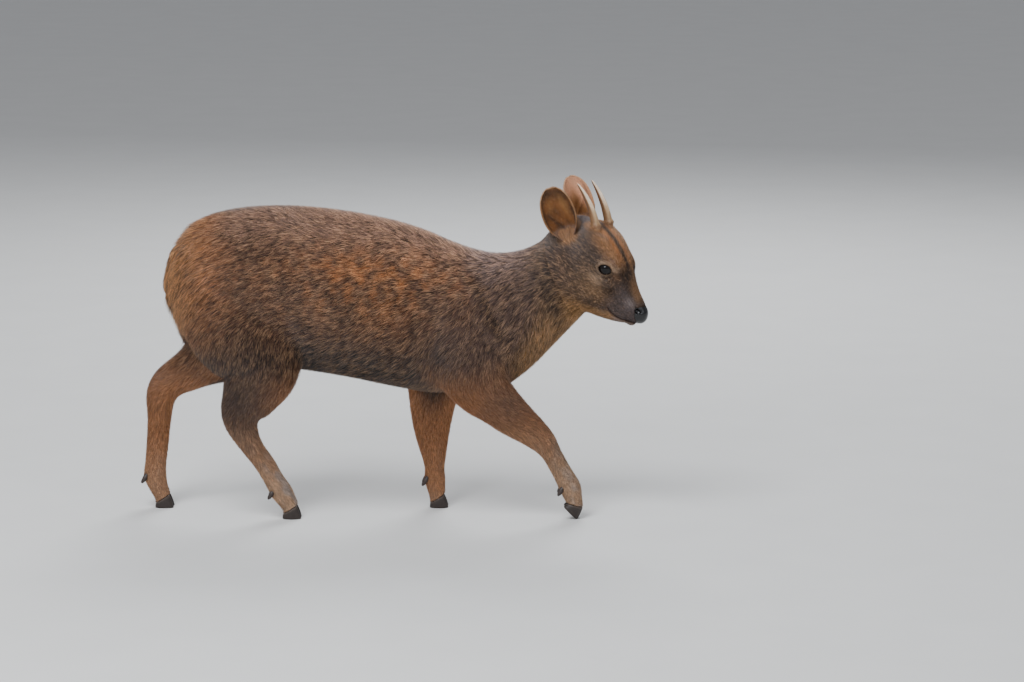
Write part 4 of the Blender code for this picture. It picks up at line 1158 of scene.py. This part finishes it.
def bare(points):
    """1 where no hair grows on the head's skin: eye opening, nose pad, mouth and antlers."""
    local = head_places(points)
    none = ramp(-lid_away(local), -0.0012, -0.0006) * ramp(-eye_away(local), -0.0170, -0.0150)
    none = np.maximum(none, ramp(-pad_depth(local), -NOSE_REACH - 0.06, -NOSE_REACH - 0.01))
    off = np.abs(local[:, 2] - mouth_level(local[:, 0]))
    lips = ramp(-off, -0.0013, -0.0006) * ramp(local[:, 0], -0.044, -0.038)
    none = np.maximum(none, lips)
    return np.maximum(none, ramp(-antler_away(local), -0.0048, -0.0038))


def scattered(mesh, density, seed):
    """Places spread over a mesh by so many a square metre, with the outward way at each."""
    mesh.calc_loop_triangles()
    corners = np.empty(len(mesh.loop_triangles) * 3, np.int32)
    mesh.loop_triangles.foreach_get("vertices", corners)
    corners = corners.reshape(-1, 3)
    co = places(mesh)[corners]
    way = normals(mesh)[corners]
    area = 0.5 * np.linalg.norm(np.cross(co[:, 1] - co[:, 0], co[:, 2] - co[:, 0]), axis=1)
    reached = np.cumsum(area * density(co.mean(axis=1)))
    rng = np.random.default_rng(seed)
    marks = np.arange(int(reached[-1])) + rng.random(int(reached[-1]))
    which = np.minimum(np.searchsorted(reached, marks), len(area) - 1)
    root = np.sqrt(rng.random(len(marks)))
    other = rng.random(len(marks))
    share = np.stack([1 - root, root * (1 - other), root * other], axis=1)[:, :, None]
    return (co[which] * share).sum(axis=1), unit((way[which] * share).sum(axis=1))


def tree_of(mesh):
    """A search tree over a mesh's faces."""
    faces = [tuple(face.vertices) for face in mesh.polygons]
    return BVHTree.FromPolygons([tuple(place) for place in places(mesh)], faces)


def onto(tree, points):
    """The nearest places on the skin, and the outward way there."""
    found = [tree.find_nearest(tuple(point))[:2] for point in points]
    return np.array([hit[0] for hit in found]), np.array([hit[1] for hit in found])


# A tuft: its faces, which of its points lie along and across it, and how deep its root stands
TUFT_FACES = np.array([(0, 1, 2), (0, 2, 3), (2, 1, 3), (1, 0, 3)])
TUFT_ALONG = np.array([0.0, 0.0, 0.0, 1.0])
TUFT_ACROSS = np.array([-1.0, 1.0, 0.0, 0.0])
TUFT_SUNK = 0.0004

# How dark the roots of the tufts are, how pale their tips, and how the skin compares with
# them under the coat and in the ears
ROOT_SHADE = 0.62
TIP_SHADE = 1.20
SKIN_SHADE = 0.75
EAR_SHADE = 1.30


def tufts(tree, root, way, lie, length, width, height):
    """Closed three-sided tufts; `height` says how far over the skin each tip lies."""
    tip, tip_way = onto(tree, root + lie * length[:, None])
    aside = unit(np.cross(lie, way))
    half = width[:, None] / 2
    low = root - way * TUFT_SUNK
    top = tip + tip_way * height(tip)[:, None]
    return np.stack([low - aside * half, low + aside * half, low + way * half * 0.8, top], axis=1)


def fleck_values(points, size, seed):
    """A value from 0 to 1 that is the same throughout each small cell of space."""
    cell = np.floor(points / size)
    mix = cell @ np.array([12.9898, 78.2330, 37.7190]) + seed
    return np.abs(np.modf(np.sin(mix) * 43758.5453)[0])


def coat_tones(colour, points, speckle, seed):
    """Each tuft's colours, dark at the root and paler to the tip, with pale and dark flecks."""
    rng = np.random.default_rng(seed)
    value = np.exp(rng.normal(0.0, 0.20 + 0.10 * np.clip(speckle, 0.0, 1.0)))
    fleck = fleck_values(points, 0.0023 - 0.0007 * np.round(head_share(points))[:, None], 3.0)
    fine = rng.random(len(colour))
    pale = speckle * (1.10 * ramp(fleck, 0.78, 0.86) + 0.85 * ramp(fine, 0.88, 0.93))
    dark = speckle * (0.75 * ramp(-fleck, -0.36, -0.18) + 0.40 * ramp(-fine, -0.18, -0.08))
    shade = np.interp(TUFT_ALONG, (0.0, 1.0), (ROOT_SHADE, TIP_SHADE))
    body = colour * (value * (1 - dark) * (1 + 0.25 * pale))[:, None]
    tones = body[:, None, :] * shade[None, :, None]
    tip = np.clip(pale, 0.0, 1.0)[:, None]
    tones[:, 3] += (0.62 * FLECK + 0.38 * 1.9 * tones[:, 3] - tones[:, 3]) * tip
    return tones


def coat_piece(name, corners, tones, flat):
    """One mesh of tufts with its colours and its bake map."""
    count, each = corners.shape[:2]
    mesh = bpy.data.meshes.new(name)
    mesh.vertices.add(count * each)
    mesh.vertices.foreach_set("co", corners.astype(np.float32).ravel())
    index = (TUFT_FACES[None] + np.arange(count)[:, None, None] * each).reshape(-1, 3)
    mesh.loops.add(index.size)
    mesh.loops.foreach_set("vertex_index", index.ravel().astype(np.int32))
    mesh.polygons.add(len(index))
    mesh.polygons.foreach_set("loop_start", np.arange(0, index.size, 3, dtype=np.int32))
    layer = mesh.uv_layers.new(name="OFBake")
    uv = bake_places(flat).reshape(-1, 2)
    layer.uv.foreach_set("vector", uv[index.ravel()].astype(np.float32).ravel())
    mesh.update(calc_edges=True)
    tint(mesh, tones.reshape(-1, 3))
    return mesh_object(name, mesh)


def tint(mesh, colour):
    """Stores a colour on each point of a mesh for its material."""
    layer = mesh.attributes.new("tint", "FLOAT_COLOR", "POINT")
    full = np.concatenate([colour, np.ones((len(colour), 1))], axis=1)
    layer.data.foreach_set("color", full.astype(np.float32).ravel())


def round_trunk(points):
    """The trunk's skin laid flat: along its line and round it."""
    x = points[:, 0]
    rows = smooth_rows(TRUNK, 80)
    line = (rows[:, 0] + rows[:, 2]) / 2
    middle = np.interp(x, line, (rows[:, 1] + rows[:, 3]) / 2)
    aside = np.interp(x, line, rows[:, 5])
    return np.stack([x, np.arctan2(points[:, 1] - aside, points[:, 2] - middle)], axis=1)


def round_leg(points):
    """A leg's skin laid flat: down it and round it."""
    middle, _ = leg_line(points)
    off = points[:, :2] - middle
    return np.stack([points[:, 2], np.arctan2(off[:, 1], off[:, 0])], axis=1)


def round_head(points):
    """The head's skin laid flat: back from the nose and round it."""
    local = head_places(points)
    return np.stack([local[:, 0], np.arctan2(local[:, 1], local[:, 2] + 0.012)], axis=1)


def bake_places(flat):
    """A patch for each tuft at its root's place on the flat skin, scaled to fill the map."""
    low, high = flat.min(axis=0), flat.max(axis=0)
    at = 0.01 + 0.98 * (flat - low) / (high - low)
    patch = np.stack([TUFT_ACROSS * 0.0012, (TUFT_ALONG - 0.5) * 0.003], axis=1)
    return at[:, None, :] + patch[None]


def body_part(points):
    """The coat piece that each place on the body's skin belongs to."""
    rows = smooth_rows(TRUNK, 80)
    belly = np.interp(points[:, 0], rows[:, 2], rows[:, 3]) - 0.006
    side = np.where(points[:, 1] > 0, "left", "right")
    length = np.select(
        [points[:, 0] < -0.200, points[:, 0] < -0.070, points[:, 0] < 0.085],
        ["rump_", "flank_", "shoulder_"], "neck_",
    )
    low = (points[:, 2] < belly) | (points[:, 2] < 0.160)
    length = np.where(low, np.where(points[:, 0] < -0.06, "hindleg_", "foreleg_"), length)
    return np.char.add(length, side)


def combed(at, out, rng):
    """The way and the length of each tuft, a little uneven."""
    lie = coat_lie(at, out)
    lie = unit(lie + np.cross(out, lie) * rng.normal(0.0, 0.17, len(at))[:, None])
    return lie, coat_length(at) * rng.uniform(0.70, 1.20, len(at))


def coat_body(skin):
    """The tufts of the trunk, neck and legs; those of the rump hang together in locks."""
    tree = tree_of(skin.data)
    root, way = scattered(skin.data, coat_density, 21)
    part = body_part(root)
    made = []
    for k, name in enumerate(sorted(set(part))):
        mine = part == name
        at, out = root[mine], way[mine]
        rng = np.random.default_rng(100 + k)
        lie, length = combed(at, out, rng)
        lock = fleck_values(at, 0.0045, 5.0) - 0.5
        shag = 1 + rump_share(at) * (0.25 * wander(at, 0.02, 31) + 0.55 * lock)
        length = length * (1 + 0.40 * rump_share(at) * lock)
        lift = rng.uniform(0.70, 1.05, len(at)) * shag
        corners = tufts(tree, at, out, lie, length, tuft_width(at), lambda tip: coat_depth(tip) * lift)
        tones = coat_tones(markings(at, out), at, coat_speckle(at), 200 + k)
        flat = round_leg(at) if "leg_" in name else round_trunk(at)
        made.append(coat_piece("coat_" + name, corners, tones, flat))
    return made


def coat_speckle(points):
    """How strongly the hair is flecked: most on the trunk, least on the legs and forehead."""
    local = head_places(points)
    top, _ = head_levels(local[:, 0])
    head = 0.50 - 0.15 * ramp(local[:, 2] - top, -0.024, -0.010) - 0.30 * ramp(local[:, 0], -0.060, -0.030)
    shoulder = near_pixel(points, SHOULDER_BLADE_PIXEL, 0.050, 1.4)
    speckle = (1 - 0.60 * leg_share(points)) * (1 - 0.35 * shoulder)
    head = head * (1 - 0.75 * np.clip(collar_share(local), 0.0, 1.0))
    return speckle + (head - speckle) * head_share(points)


def coat_head(skin):
    """The short tufts of the head."""
    tree = tree_of(skin.data)
    root, way = scattered(skin.data, lambda points: coat_density(points) * (1 - bare(points)), 22)
    made = []
    for k, (side, name) in enumerate(SIDES):
        mine = head_places(root)[:, 1] * side > 0
        at, out = root[mine], way[mine]
        rng = np.random.default_rng(300 + k)
        lie, length = combed(at, out, rng)
        lift = rng.uniform(0.55, 1.05, len(at))
        stand = 0.0030 * collar_share(head_places(at)) * rng.uniform(0.4, 1.0, len(at))
        width = tuft_width(at)
        corners = tufts(tree, at, out, lie, length, width, lambda tip: coat_depth(tip) * lift + stand)
        tones = coat_tones(markings(at, out), at, coat_speckle(at), 310 + k)
        made.append(coat_piece("coat_head_" + name, corners, tones, round_head(at)))
    return made


# The ear's markings and its hair, worked out along and across the leaf

def ear_spots(points, side):
    """Each place's share of the ear's length and of its half width there."""
    root, (axis, opens, across) = ear_frame(side)
    off = points - root
    share = np.clip(off @ axis / EAR_REACH, 0.0, 1.0)
    rows = np.array(EAR_ROWS)
    radius = np.interp(share, rows[:, 0], rows[:, 1])
    half = np.radians(np.interp(share, rows[:, 0], rows[:, 2]))
    forward = off @ opens + rows[0, 1] * (1 - 0.5 * share)
    angle = np.arctan2(off @ across, radius - forward)
    return share, angle / half


def ear_markings(points, way, side):
    """The ear's colours: tawny and brown inside with a pale rim, brown behind."""
    share, over = ear_spots(points, side)
    inner = way @ ear_frame(side)[1][1] > 0
    colour = plain(EAR_BACK, points)
    inside = plain(EAR_ORANGE, points)
    if side > 0:
        paint(inside, COLLAR, 0.7)
        # The far ear's paler pink inside: partly its skin, partly painted light shining through the thin
        # ear
        paint(inside, EAR_PINK, 0.95 * ramp(share, 0.42, 0.78))
        paint(inside, EAR_PINK, 0.80 * ramp(np.abs(over + 0.10), 0.30, 0.60) * ramp(share, 0.25, 0.50))
        paint(inside, COLLAR, 0.60 * bump_at(over - 0.05, 0.14) * ramp(-share, -0.85, -0.60))
    else:
        paint(inside, EAR_BROWN, 0.50 + 0.45 * wander(points, 0.020, 71))
        paint(inside, EAR_TAN, 0.55 * bump_at(np.hypot((over - 0.38) * 0.9, share - 0.62), 0.20))
        paint(inside, EAR_TAN, 0.35 * bump_at(np.hypot((over + 0.35) * 0.9, share - 0.66), 0.14))
        paint(inside, DARK, 0.35 * bump_at(np.hypot((over + 0.05) * 0.6, share - 0.48), 0.12))
    crest = over - 1.65 * side * np.maximum(share - 0.20, 0.0)
    paint(inside, EAR_ORANGE, 0.7 * bump_at(crest + 0.22 * side, 0.16) * ramp(-share, -0.60, -0.45))
    # Painted shade in the groove beside the fold inside the ear
    groove = bump_at(crest - 0.08 * side, 0.07) * ramp(-share, -0.62, -0.45)
    paint(inside, DARK, (0.55 - 0.25 * side) * groove)
    # Painted shade inside the ear: under the near ear's top rim, along both edges low down, and under the
    # front rim
    if side < 0:
        paint(inside, DARK, 0.45 * bump_at(share - 0.90, 0.05) * ramp(0.80 - np.abs(over), 0.0, 0.2))
    paint(inside, DARK, 0.50 * bump_at(np.abs(over) - 0.84, 0.09) * ramp(-share, -0.90, -0.70))
    paint(inside, DARK, 0.60 * bump_at(over + side * 0.90, 0.14) * bump_at(share - 0.32, 0.20))
    paint(inside, COLLAR, 0.65 * ramp(-share, -0.26, -0.14) * (1 - bump_at(crest, 0.25)))
    paint(inside, GREY_BROWN, 0.70 * ramp(-share, -0.24, -0.17))
    colour[inner] = inside[inner]
    rim = np.maximum(ramp(np.abs(over), 0.92, 0.98), ramp(share, 0.97, 0.995))
    paint(colour, EAR_RIM, 0.45 * rim * ramp(share, 0.15, 0.40))
    paint(colour, PALE, 0.45 * rim * ramp(share, 0.70, 0.92))
    return colour


def coat_ear(leaf, side, name):
    """Short hair behind the ear, longer and sparser hair inside and along its rim."""
    tree = tree_of(leaf.data)
    axis, opens, across = ear_frame(side)[1]
    root, way = scattered(leaf.data, lambda points: np.full(len(points), EAR_TUFTS), 40 + side)
    share, over = ear_spots(root, side)
    inner = way @ opens > 0
    rim = np.maximum(ramp(np.abs(over), 0.80, 0.95), ramp(share, 0.93, 0.99))
    rng = np.random.default_rng(50 + side)
    keep = ~inner | (rng.random(len(root)) < 0.34 + 0.45 * rim)
    root, way, inner, rim, over = root[keep], way[keep], inner[keep], rim[keep], over[keep]
    lie = np.tile(axis, (len(root), 1)) + across[None] * (over * 0.35)[:, None]
    lie += rng.normal(0.0, 0.16, (len(root), 3))
    lie = unit(lie - way * (lie * way).sum(axis=1)[:, None])
    length = np.where(inner, EAR_HAIR, EAR_BACK_HAIR) * rng.uniform(0.6, 1.2, len(root)) * (1 - 0.45 * rim)
    height = 0.0008 * rng.uniform(0.5, 1.2, len(root))
    width = np.where(inner, 0.00038, 0.00055)
    corners = tufts(tree, root, way, lie, length, width, lambda tip: height)
    tones = coat_tones(ear_markings(root, way, side), root, np.full(len(root), 0.30), 60 + side)
    flat = np.stack([over + 3.0 * inner, root @ axis], axis=1)
    return coat_piece("coat_ear_" + name, corners, tones, flat)


# Eyes, antlers and hooves

def make_eye(side, name):
    """A glossy ball with a dark iris and a level pupil."""
    ball = ellipsoid("eye_" + name + "_ball", mirrored(EYE_PLACE, side), (EYE_RADIUS,) * 3,
                     segments=72, rings=48)
    gaze = EYE_GAZE * (1, side, 1)
    local = (places(ball.data) - np.array(mirrored(EYE_PLACE, side))) / EYE_RADIUS
    level = local - gaze * (local @ gaze)[:, None]
    away = np.hypot(level[:, 0] + level[:, 1] * gaze[0], level[:, 2])
    colour = plain(EYE_BALL, local)
    paint(colour, EYE_IRIS, bump_at(away - 0.42, 0.16))
    paint(colour, EYE_PUPIL, ramp(-np.hypot(level[:, 0] / 0.36, level[:, 2] / 0.20), -1.1, -0.9))
    tint(ball.data, colour)
    return in_place([ball])[0]


def make_antler(side, name, count=90, sides=48):
    """A plain spike that leans and bends back, grooved along its length, round a pearled burr."""
    turn = np.linspace(0, 2 * math.pi, sides, endpoint=False)
    root = np.array(mirrored(ANTLER_ROOT, side))
    rng = np.random.default_rng(70 + side)
    phase = rng.uniform(0, 2 * math.pi, 4)
    rings, tones = [], []
    for share in np.linspace(-ANTLER_SUNK / ANTLER_LENGTH, 1.0, count):
        lean = ANTLER_LEAN + ANTLER_BEND * share
        beyond = max(share, 0.0)
        x = (math.cos(lean) - math.cos(ANTLER_LEAN)) / ANTLER_BEND
        z = (math.sin(lean) - math.sin(ANTLER_LEAN)) / ANTLER_BEND
        burr = 0.0012 * math.exp(-(((share - 0.03) / 0.05) ** 2))
        taper = math.sqrt(1 - beyond**2.2) * (1 - 0.30 * beyond)
        radius = max((ANTLER_RADIUS + burr) * taper, 0.0003)
        pearl = 0.10 * math.exp(-(((share - 0.03) / 0.045) ** 2)) * np.cos(11 * turn + phase[0])
        groove = 0.035 * np.cos(7 * turn + phase[1] + 2.2 * share)
        groove += 0.020 * np.cos(13 * turn + phase[2] - 3 * share)
        size = 1.0 + pearl - groove * (1 - 0.8 * beyond)
        forward = np.array([math.cos(lean), 0.0, math.sin(lean)]) * radius * 1.06
        across = np.array([0.0, 1.0, 0.0]) * radius * 0.95
        ring = np.outer(np.cos(turn) * size, forward) + np.outer(np.sin(turn) * size, across)
        rings.append(root + ANTLER_LENGTH * np.array([x, ANTLER_SPREAD * side * share, z]) + ring)
        # The bone's pale front and brown back are partly its own colour and partly painted light and
        # shade; the whiter band up the front is partly a painted highlight
        face = np.cos(turn)
        colour = plain(ANTLER_BACK, turn)
        paint(colour, ANTLER_FRONT, ramp(face, 0.00, 0.92))
        paint(colour, ANTLER_PALE, 0.75 * ramp(face, 0.10, 0.80) * ramp(share, 0.25, 0.65))
        paint(colour, ANTLER_LOW, 0.60 * ramp(-share, -0.45, -0.08))
        paint(colour, ANTLER_GROOVE, 0.55 * ramp(groove, 0.010, 0.045) * (1 - 0.7 * beyond))
        paint(colour, ANTLER_BURR, 0.7 * bump_at(share, 0.07))
        tones.append(colour)
    return in_place([tinted_loft("antler_" + name + "_horn", rings, tones)])[0]


def tinted_loft(name, rings, tones):
    """A loft with colours for each ring; the middle of each end has its ring's first colour."""
    thing = loft(name, rings)
    tint(thing.data, np.concatenate(tones + [tones[0][:1], tones[-1][:1]]))
    return thing


def make_claw(name, place, aside, floor):
    """One claw with a pointed sole, a sloping front wall and fine rings of growth."""
    turn = np.linspace(0, 2 * math.pi, 40, endpoint=False)
    along = np.cos(turn)
    rings, tones = [], []
    for height in np.linspace(0.0, 1.0, 26):
        back, front, width = (
            np.interp(height, (0.0, 0.35, 1.0), row)
            for row in ((-0.0105, -0.0110, -0.0104), (0.0150, 0.0132, 0.0088), (0.94, 1.0, 0.98))
        )
        rise = math.sin(height * CLAW_GROWTH)
        growth = 1 - 0.012 * (1 + rise) - 0.03 * ramp(0.06 - height, 0.0, 0.06)
        x = (front + back) / 2 + (front - back) / 2 * along * growth
        point = 1.0 - 0.35 * np.maximum(along, 0.0) ** 2 * (1.0 - 0.5 * height)
        y = aside + CLAW_HALF_WIDTH * width * np.sin(turn) * point * growth
        top = CORONET + CORONET_SLANT * x
        rings.append(np.stack([x, y, top * height], axis=1))
        colour = plain(CLAW, turn)
        paint(colour, CLAW_TOP, 0.5 * ramp(height, 0.75, 1.0))
        paint(colour, CLAW_RING, 0.35 * ramp(rise, 0.2, 1.0))
        tones.append(colour)
    claw = tinted_loft(name, rings, tones)
    claw.data.transform(place)
    if floor:
        kept_half(claw, Vector((0, 0, 0.0001)), Vector((0, 0, 1)))
    return claw


def make_dewclaw(name, heel, side):
    """A small blunt nail behind the pastern that points down and back."""
    way = Vector((-0.55, 0.25 * side, -0.80)).normalized()
    lie = way.to_track_quat("Z", "Y").to_matrix().to_4x4()
    turn = np.linspace(0, 2 * math.pi, 24, endpoint=False)
    rings = []
    for share in np.linspace(-0.35, 1.0, 18):
        size = np.interp(share, (-0.35, 0.2, 0.75, 0.93, 1.0), (0.80, 1.0, 0.68, 0.42, 0.12))
        radius = DEWCLAW_RADIUS * size * (1 - 0.03 * math.sin(share * 40.0))
        down = np.full(len(turn), DEWCLAW_LENGTH * share)
        rings.append(np.stack([radius * np.cos(turn), radius * np.sin(turn), down], axis=1))
    nail = loft(name, rings)
    nail.data.transform(Matrix.Translation(heel + Vector((0, 0.0085 * side, 0))) @ lie)
    tint(nail.data, plain(NAIL, nail.data.vertices))
    return nail


# Materials

def new_material(name):
    """A material whose colour comes from the tint stored on the points."""
    material = bpy.data.materials.new(name)
    material.use_nodes = True
    nodes = material.node_tree.nodes
    shader = nodes["Principled BSDF"]
    source = nodes.new("ShaderNodeAttribute")
    source.attribute_name = "tint"
    return material, nodes, material.node_tree.links, shader, source.outputs["Color"]


def mottled(nodes, links, colour, scale, low, high):
    """The colour made darker and paler by a fine noise over the object's own places."""
    where = nodes.new("ShaderNodeTexCoord")
    noise = nodes.new("ShaderNodeTexNoise")
    noise.inputs["Scale"].default_value = scale
    noise.inputs["Detail"].default_value = 4.0
    links.new(where.outputs["Object"], noise.inputs["Vector"])
    span = nodes.new("ShaderNodeMapRange")
    span.inputs["From Min"].default_value = 0.30
    span.inputs["From Max"].default_value = 0.70
    span.inputs["To Min"].default_value = low
    span.inputs["To Max"].default_value = high
    links.new(noise.outputs["Fac"], span.inputs["Value"])
    mix = nodes.new("ShaderNodeMix")
    mix.data_type = "RGBA"
    mix.blend_type = "MULTIPLY"
    mix.inputs["Factor"].default_value = 1.0
    links.new(colour, mix.inputs[6])
    links.new(span.outputs["Result"], mix.inputs[7])
    return mix.outputs[2], noise.outputs["Fac"]


def bumped(nodes, links, shader, height, strength, distance):
    """Roughens a surface by a height."""
    bump = nodes.new("ShaderNodeBump")
    bump.inputs["Strength"].default_value = strength
    bump.inputs["Distance"].default_value = distance
    links.new(height, bump.inputs["Height"])
    links.new(bump.outputs["Normal"], shader.inputs["Normal"])


def make_material(name, scale, low, high, bump, rough, specular, coat=0.0, coat_rough=0.03, sheen=0.0):
    """A material of tinted, mottled and bumped surface with its own gloss."""
    material, nodes, links, shader, colour = new_material(name)
    colour, noise = mottled(nodes, links, colour, scale, low, high)
    links.new(colour, shader.inputs["Base Color"])
    if bump:
        bumped(nodes, links, shader, noise, 0.6, bump)
    shader.inputs["Roughness"].default_value = rough
    shader.inputs["Specular IOR Level"].default_value = specular
    shader.inputs["Coat Weight"].default_value = coat
    shader.inputs["Coat Roughness"].default_value = coat_rough
    shader.inputs["Sheen Weight"].default_value = sheen
    return material


MATERIALS = {
    "coat": make_material("fur", 700.0, 0.80, 1.18, 0.0, 0.62, 0.22, sheen=0.10),
    "skin": make_material("under_fur", 900.0, 0.55, 0.95, 0.0004, 0.80, 0.15),
    "nose": make_material("wet_nose", 1500.0, 0.60, 1.20, 0.0002, 0.24, 0.36, 0.42, 0.07),
    "eye": make_material("wet_eye", 400.0, 0.95, 1.05, 0.0, 0.06, 0.04, 0.52, 0.045),
    "antler": make_material("antler_bone", 260.0, 0.86, 1.10, 0.0003, 0.42, 0.40),
    "hoof": make_material("hoof_horn", 320.0, 0.75, 1.20, 0.0003, 0.45, 0.40),
}


def dressed(thing, material, slot, *nodes):
    """Puts a piece on the model, smooth and in its material, and hides the imported parts it stands for,
    if any.
    """
    thing.data.transform(Matrix.Translation(SHIFT))
    thing.data.shade_smooth()
    thing.data.materials.clear()
    thing.data.materials.append(MATERIALS[material])
    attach(thing, "root")
    if nodes:
        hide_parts(*nodes)
    return thing


# The animal put together

def box_middle(node):
    """The middle of a node's box."""
    low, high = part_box(node)
    return (low + high) / 2


SHIFT = Vector((0, 0, 0))
for side, name in SIDES:
    SHIFT += (box_middle("eye_" + name) - head_matrix() @ mirrored(EYE_PLACE, side)) / 2


def make_skin():
    """The skin in one piece: body, head and both ears; and the nose pad apart."""
    body = make_body_skin()
    co = places(body.data)
    way = normals(body.data)
    put_places(body.data, co - way * (coat_depth(co) + body_relief(co))[:, None])
    coats = coat_body(body)
    head = make_head_skin()
    nose = part_nose(head)
    coats += coat_head(head)
    tones = []
    for thing in (body, head):
        tones.append(markings(places(thing.data), normals(thing.data)) * SKIN_SHADE)
    ears = []
    for side, name in SIDES:
        leaf = in_place([ear_leaf(side)])[0]
        coats.append(coat_ear(leaf, side, name))
        tones.append(ear_markings(places(leaf.data), normals(leaf.data), side) * EAR_SHADE)
        ears.append(leaf)
    skin = joined("skin", [body, head] + ears)
    tint(skin.data, np.clip(np.concatenate(tones), 0.0, 1.0))
    tint(nose.data, plain(NOSE, nose.data.vertices))
    return skin, nose, coats


skin, nose, coats = make_skin()
dressed(skin, "skin", "coat_brown", *FLESH_NODES)
dressed(nose, "nose", "nose_black")
for coat in coats:
    where = coat.name.split("_")[1]
    dressed(coat, "coat", COAT_SLOTS.get(where, "coat_brown"))
for side, name in SIDES:
    dressed(make_eye(side, name), "eye", "eye_dark", "eye_" + name)
    dressed(make_antler(side, name), "antler", "antler", "antler_" + name)
for name, (stations, side, foot) in LEGS.items():
    ankle = stations[-4]
    heel = Vector((ankle[0] - 0.75 * ankle[3], ankle[1], ankle[2]))
    for way, which in ((-1, "inner"), (1, "outer")):
        toward = way * side
        at = toward * (CLEFT / 2 + CLAW_HALF_WIDTH)
        label = name + "_" + which
        claw = make_claw("claw_" + label, foot_matrix(*foot), at, foot[3] > 0)
        dressed(claw, "hoof", "hoof", "hoof_" + label)
        nail = make_dewclaw("nail_" + label, heel, toward)
        dressed(nail, "hoof", "hoof", "dewclaw_" + label)


# Floor, light and camera

FLOOR_REACH = 20.0
SKY_COLOUR = (0.90, 0.93, 1.0, 1.0)
SKY_STRENGTH = 0.42
LIGHT_COLOUR = (0.93, 0.96, 1.0)
MIDDLE = Vector((0.0, 0.0, 0.22))
HEAD_MIDDLE = Vector((0.27, -0.05, 0.36))

# Each light: its name, its place, what it faces, how wide it is, and its power in watts
LIGHTS = (
    ("key", Vector((-0.9, -1.7, 3.1)), MIDDLE, 1.7, 104.0),
    ("catch", Vector((-1.0, -2.5, 1.5)), HEAD_MIDDLE, 1.10, 30.0),
    ("fill", Vector((2.2, -2.2, 1.3)), MIDDLE, 2.0, 10.0),
    ("rim", Vector((0.4, 2.4, 2.2)), MIDDLE, 1.6, 66.0),
)


def make_floor():
    """A wide pale floor."""
    form = bmesh.new()
    bmesh.ops.create_grid(form, x_segments=1, y_segments=1, size=FLOOR_REACH)
    floor = form_object("floor", form)
    tint(floor.data, plain(FLOOR, floor.data.vertices))
    floor.data.materials.append(make_material("floor_paper", 9.0, 0.985, 1.015, 0.0, 0.85, 0.20))


def area_light(name, place, aim, size, power):
    """A large soft light that faces a point."""
    lamp = bpy.data.lights.new(name, "AREA")
    lamp.shape = "DISK"
    lamp.size = size
    lamp.energy = power
    lamp.color = LIGHT_COLOUR
    thing = bpy.data.objects.new(name, lamp)
    bpy.context.scene.collection.objects.link(thing)
    thing.location = place
    thing.rotation_mode = "QUATERNION"
    thing.rotation_quaternion = (aim - place).to_track_quat("-Z", "Y")


def make_camera():
    """The photograph's view: a long lens, a little above the animal's right side."""
    back = Vector((0, -math.cos(CAMERA_RISE), math.sin(CAMERA_RISE)))
    up = Vector((0, math.sin(CAMERA_RISE), math.cos(CAMERA_RISE)))
    wide, tall = PHOTO_SIZE
    aim = Vector(((wide / 2 - PHOTO_ORIGIN[0]) * PIXEL, 0, 0))
    aim += up * (FLOOR_ROW - tall / 2) * PIXEL
    lens = bpy.data.cameras.new("camera")
    lens.sensor_width = SENSOR
    lens.lens = SENSOR * CAMERA_DISTANCE / (wide * PIXEL)
    camera = bpy.data.objects.new("camera", lens)
    bpy.context.scene.collection.objects.link(camera)
    camera.location = aim + back * CAMERA_DISTANCE + SHIFT
    camera.rotation_mode = "QUATERNION"
    camera.rotation_quaternion = (-back).to_track_quat("-Z", "Y")
    bpy.context.scene.camera = camera


def make_world():
    """Pale light from all round."""
    world = bpy.data.worlds.new("studio")
    world.use_nodes = True
    sky = world.node_tree.nodes["Background"]
    sky.inputs["Color"].default_value = SKY_COLOUR
    sky.inputs["Strength"].default_value = SKY_STRENGTH
    bpy.context.scene.world = world


make_floor()
for light in LIGHTS:
    area_light(*light)
make_world()
make_camera()
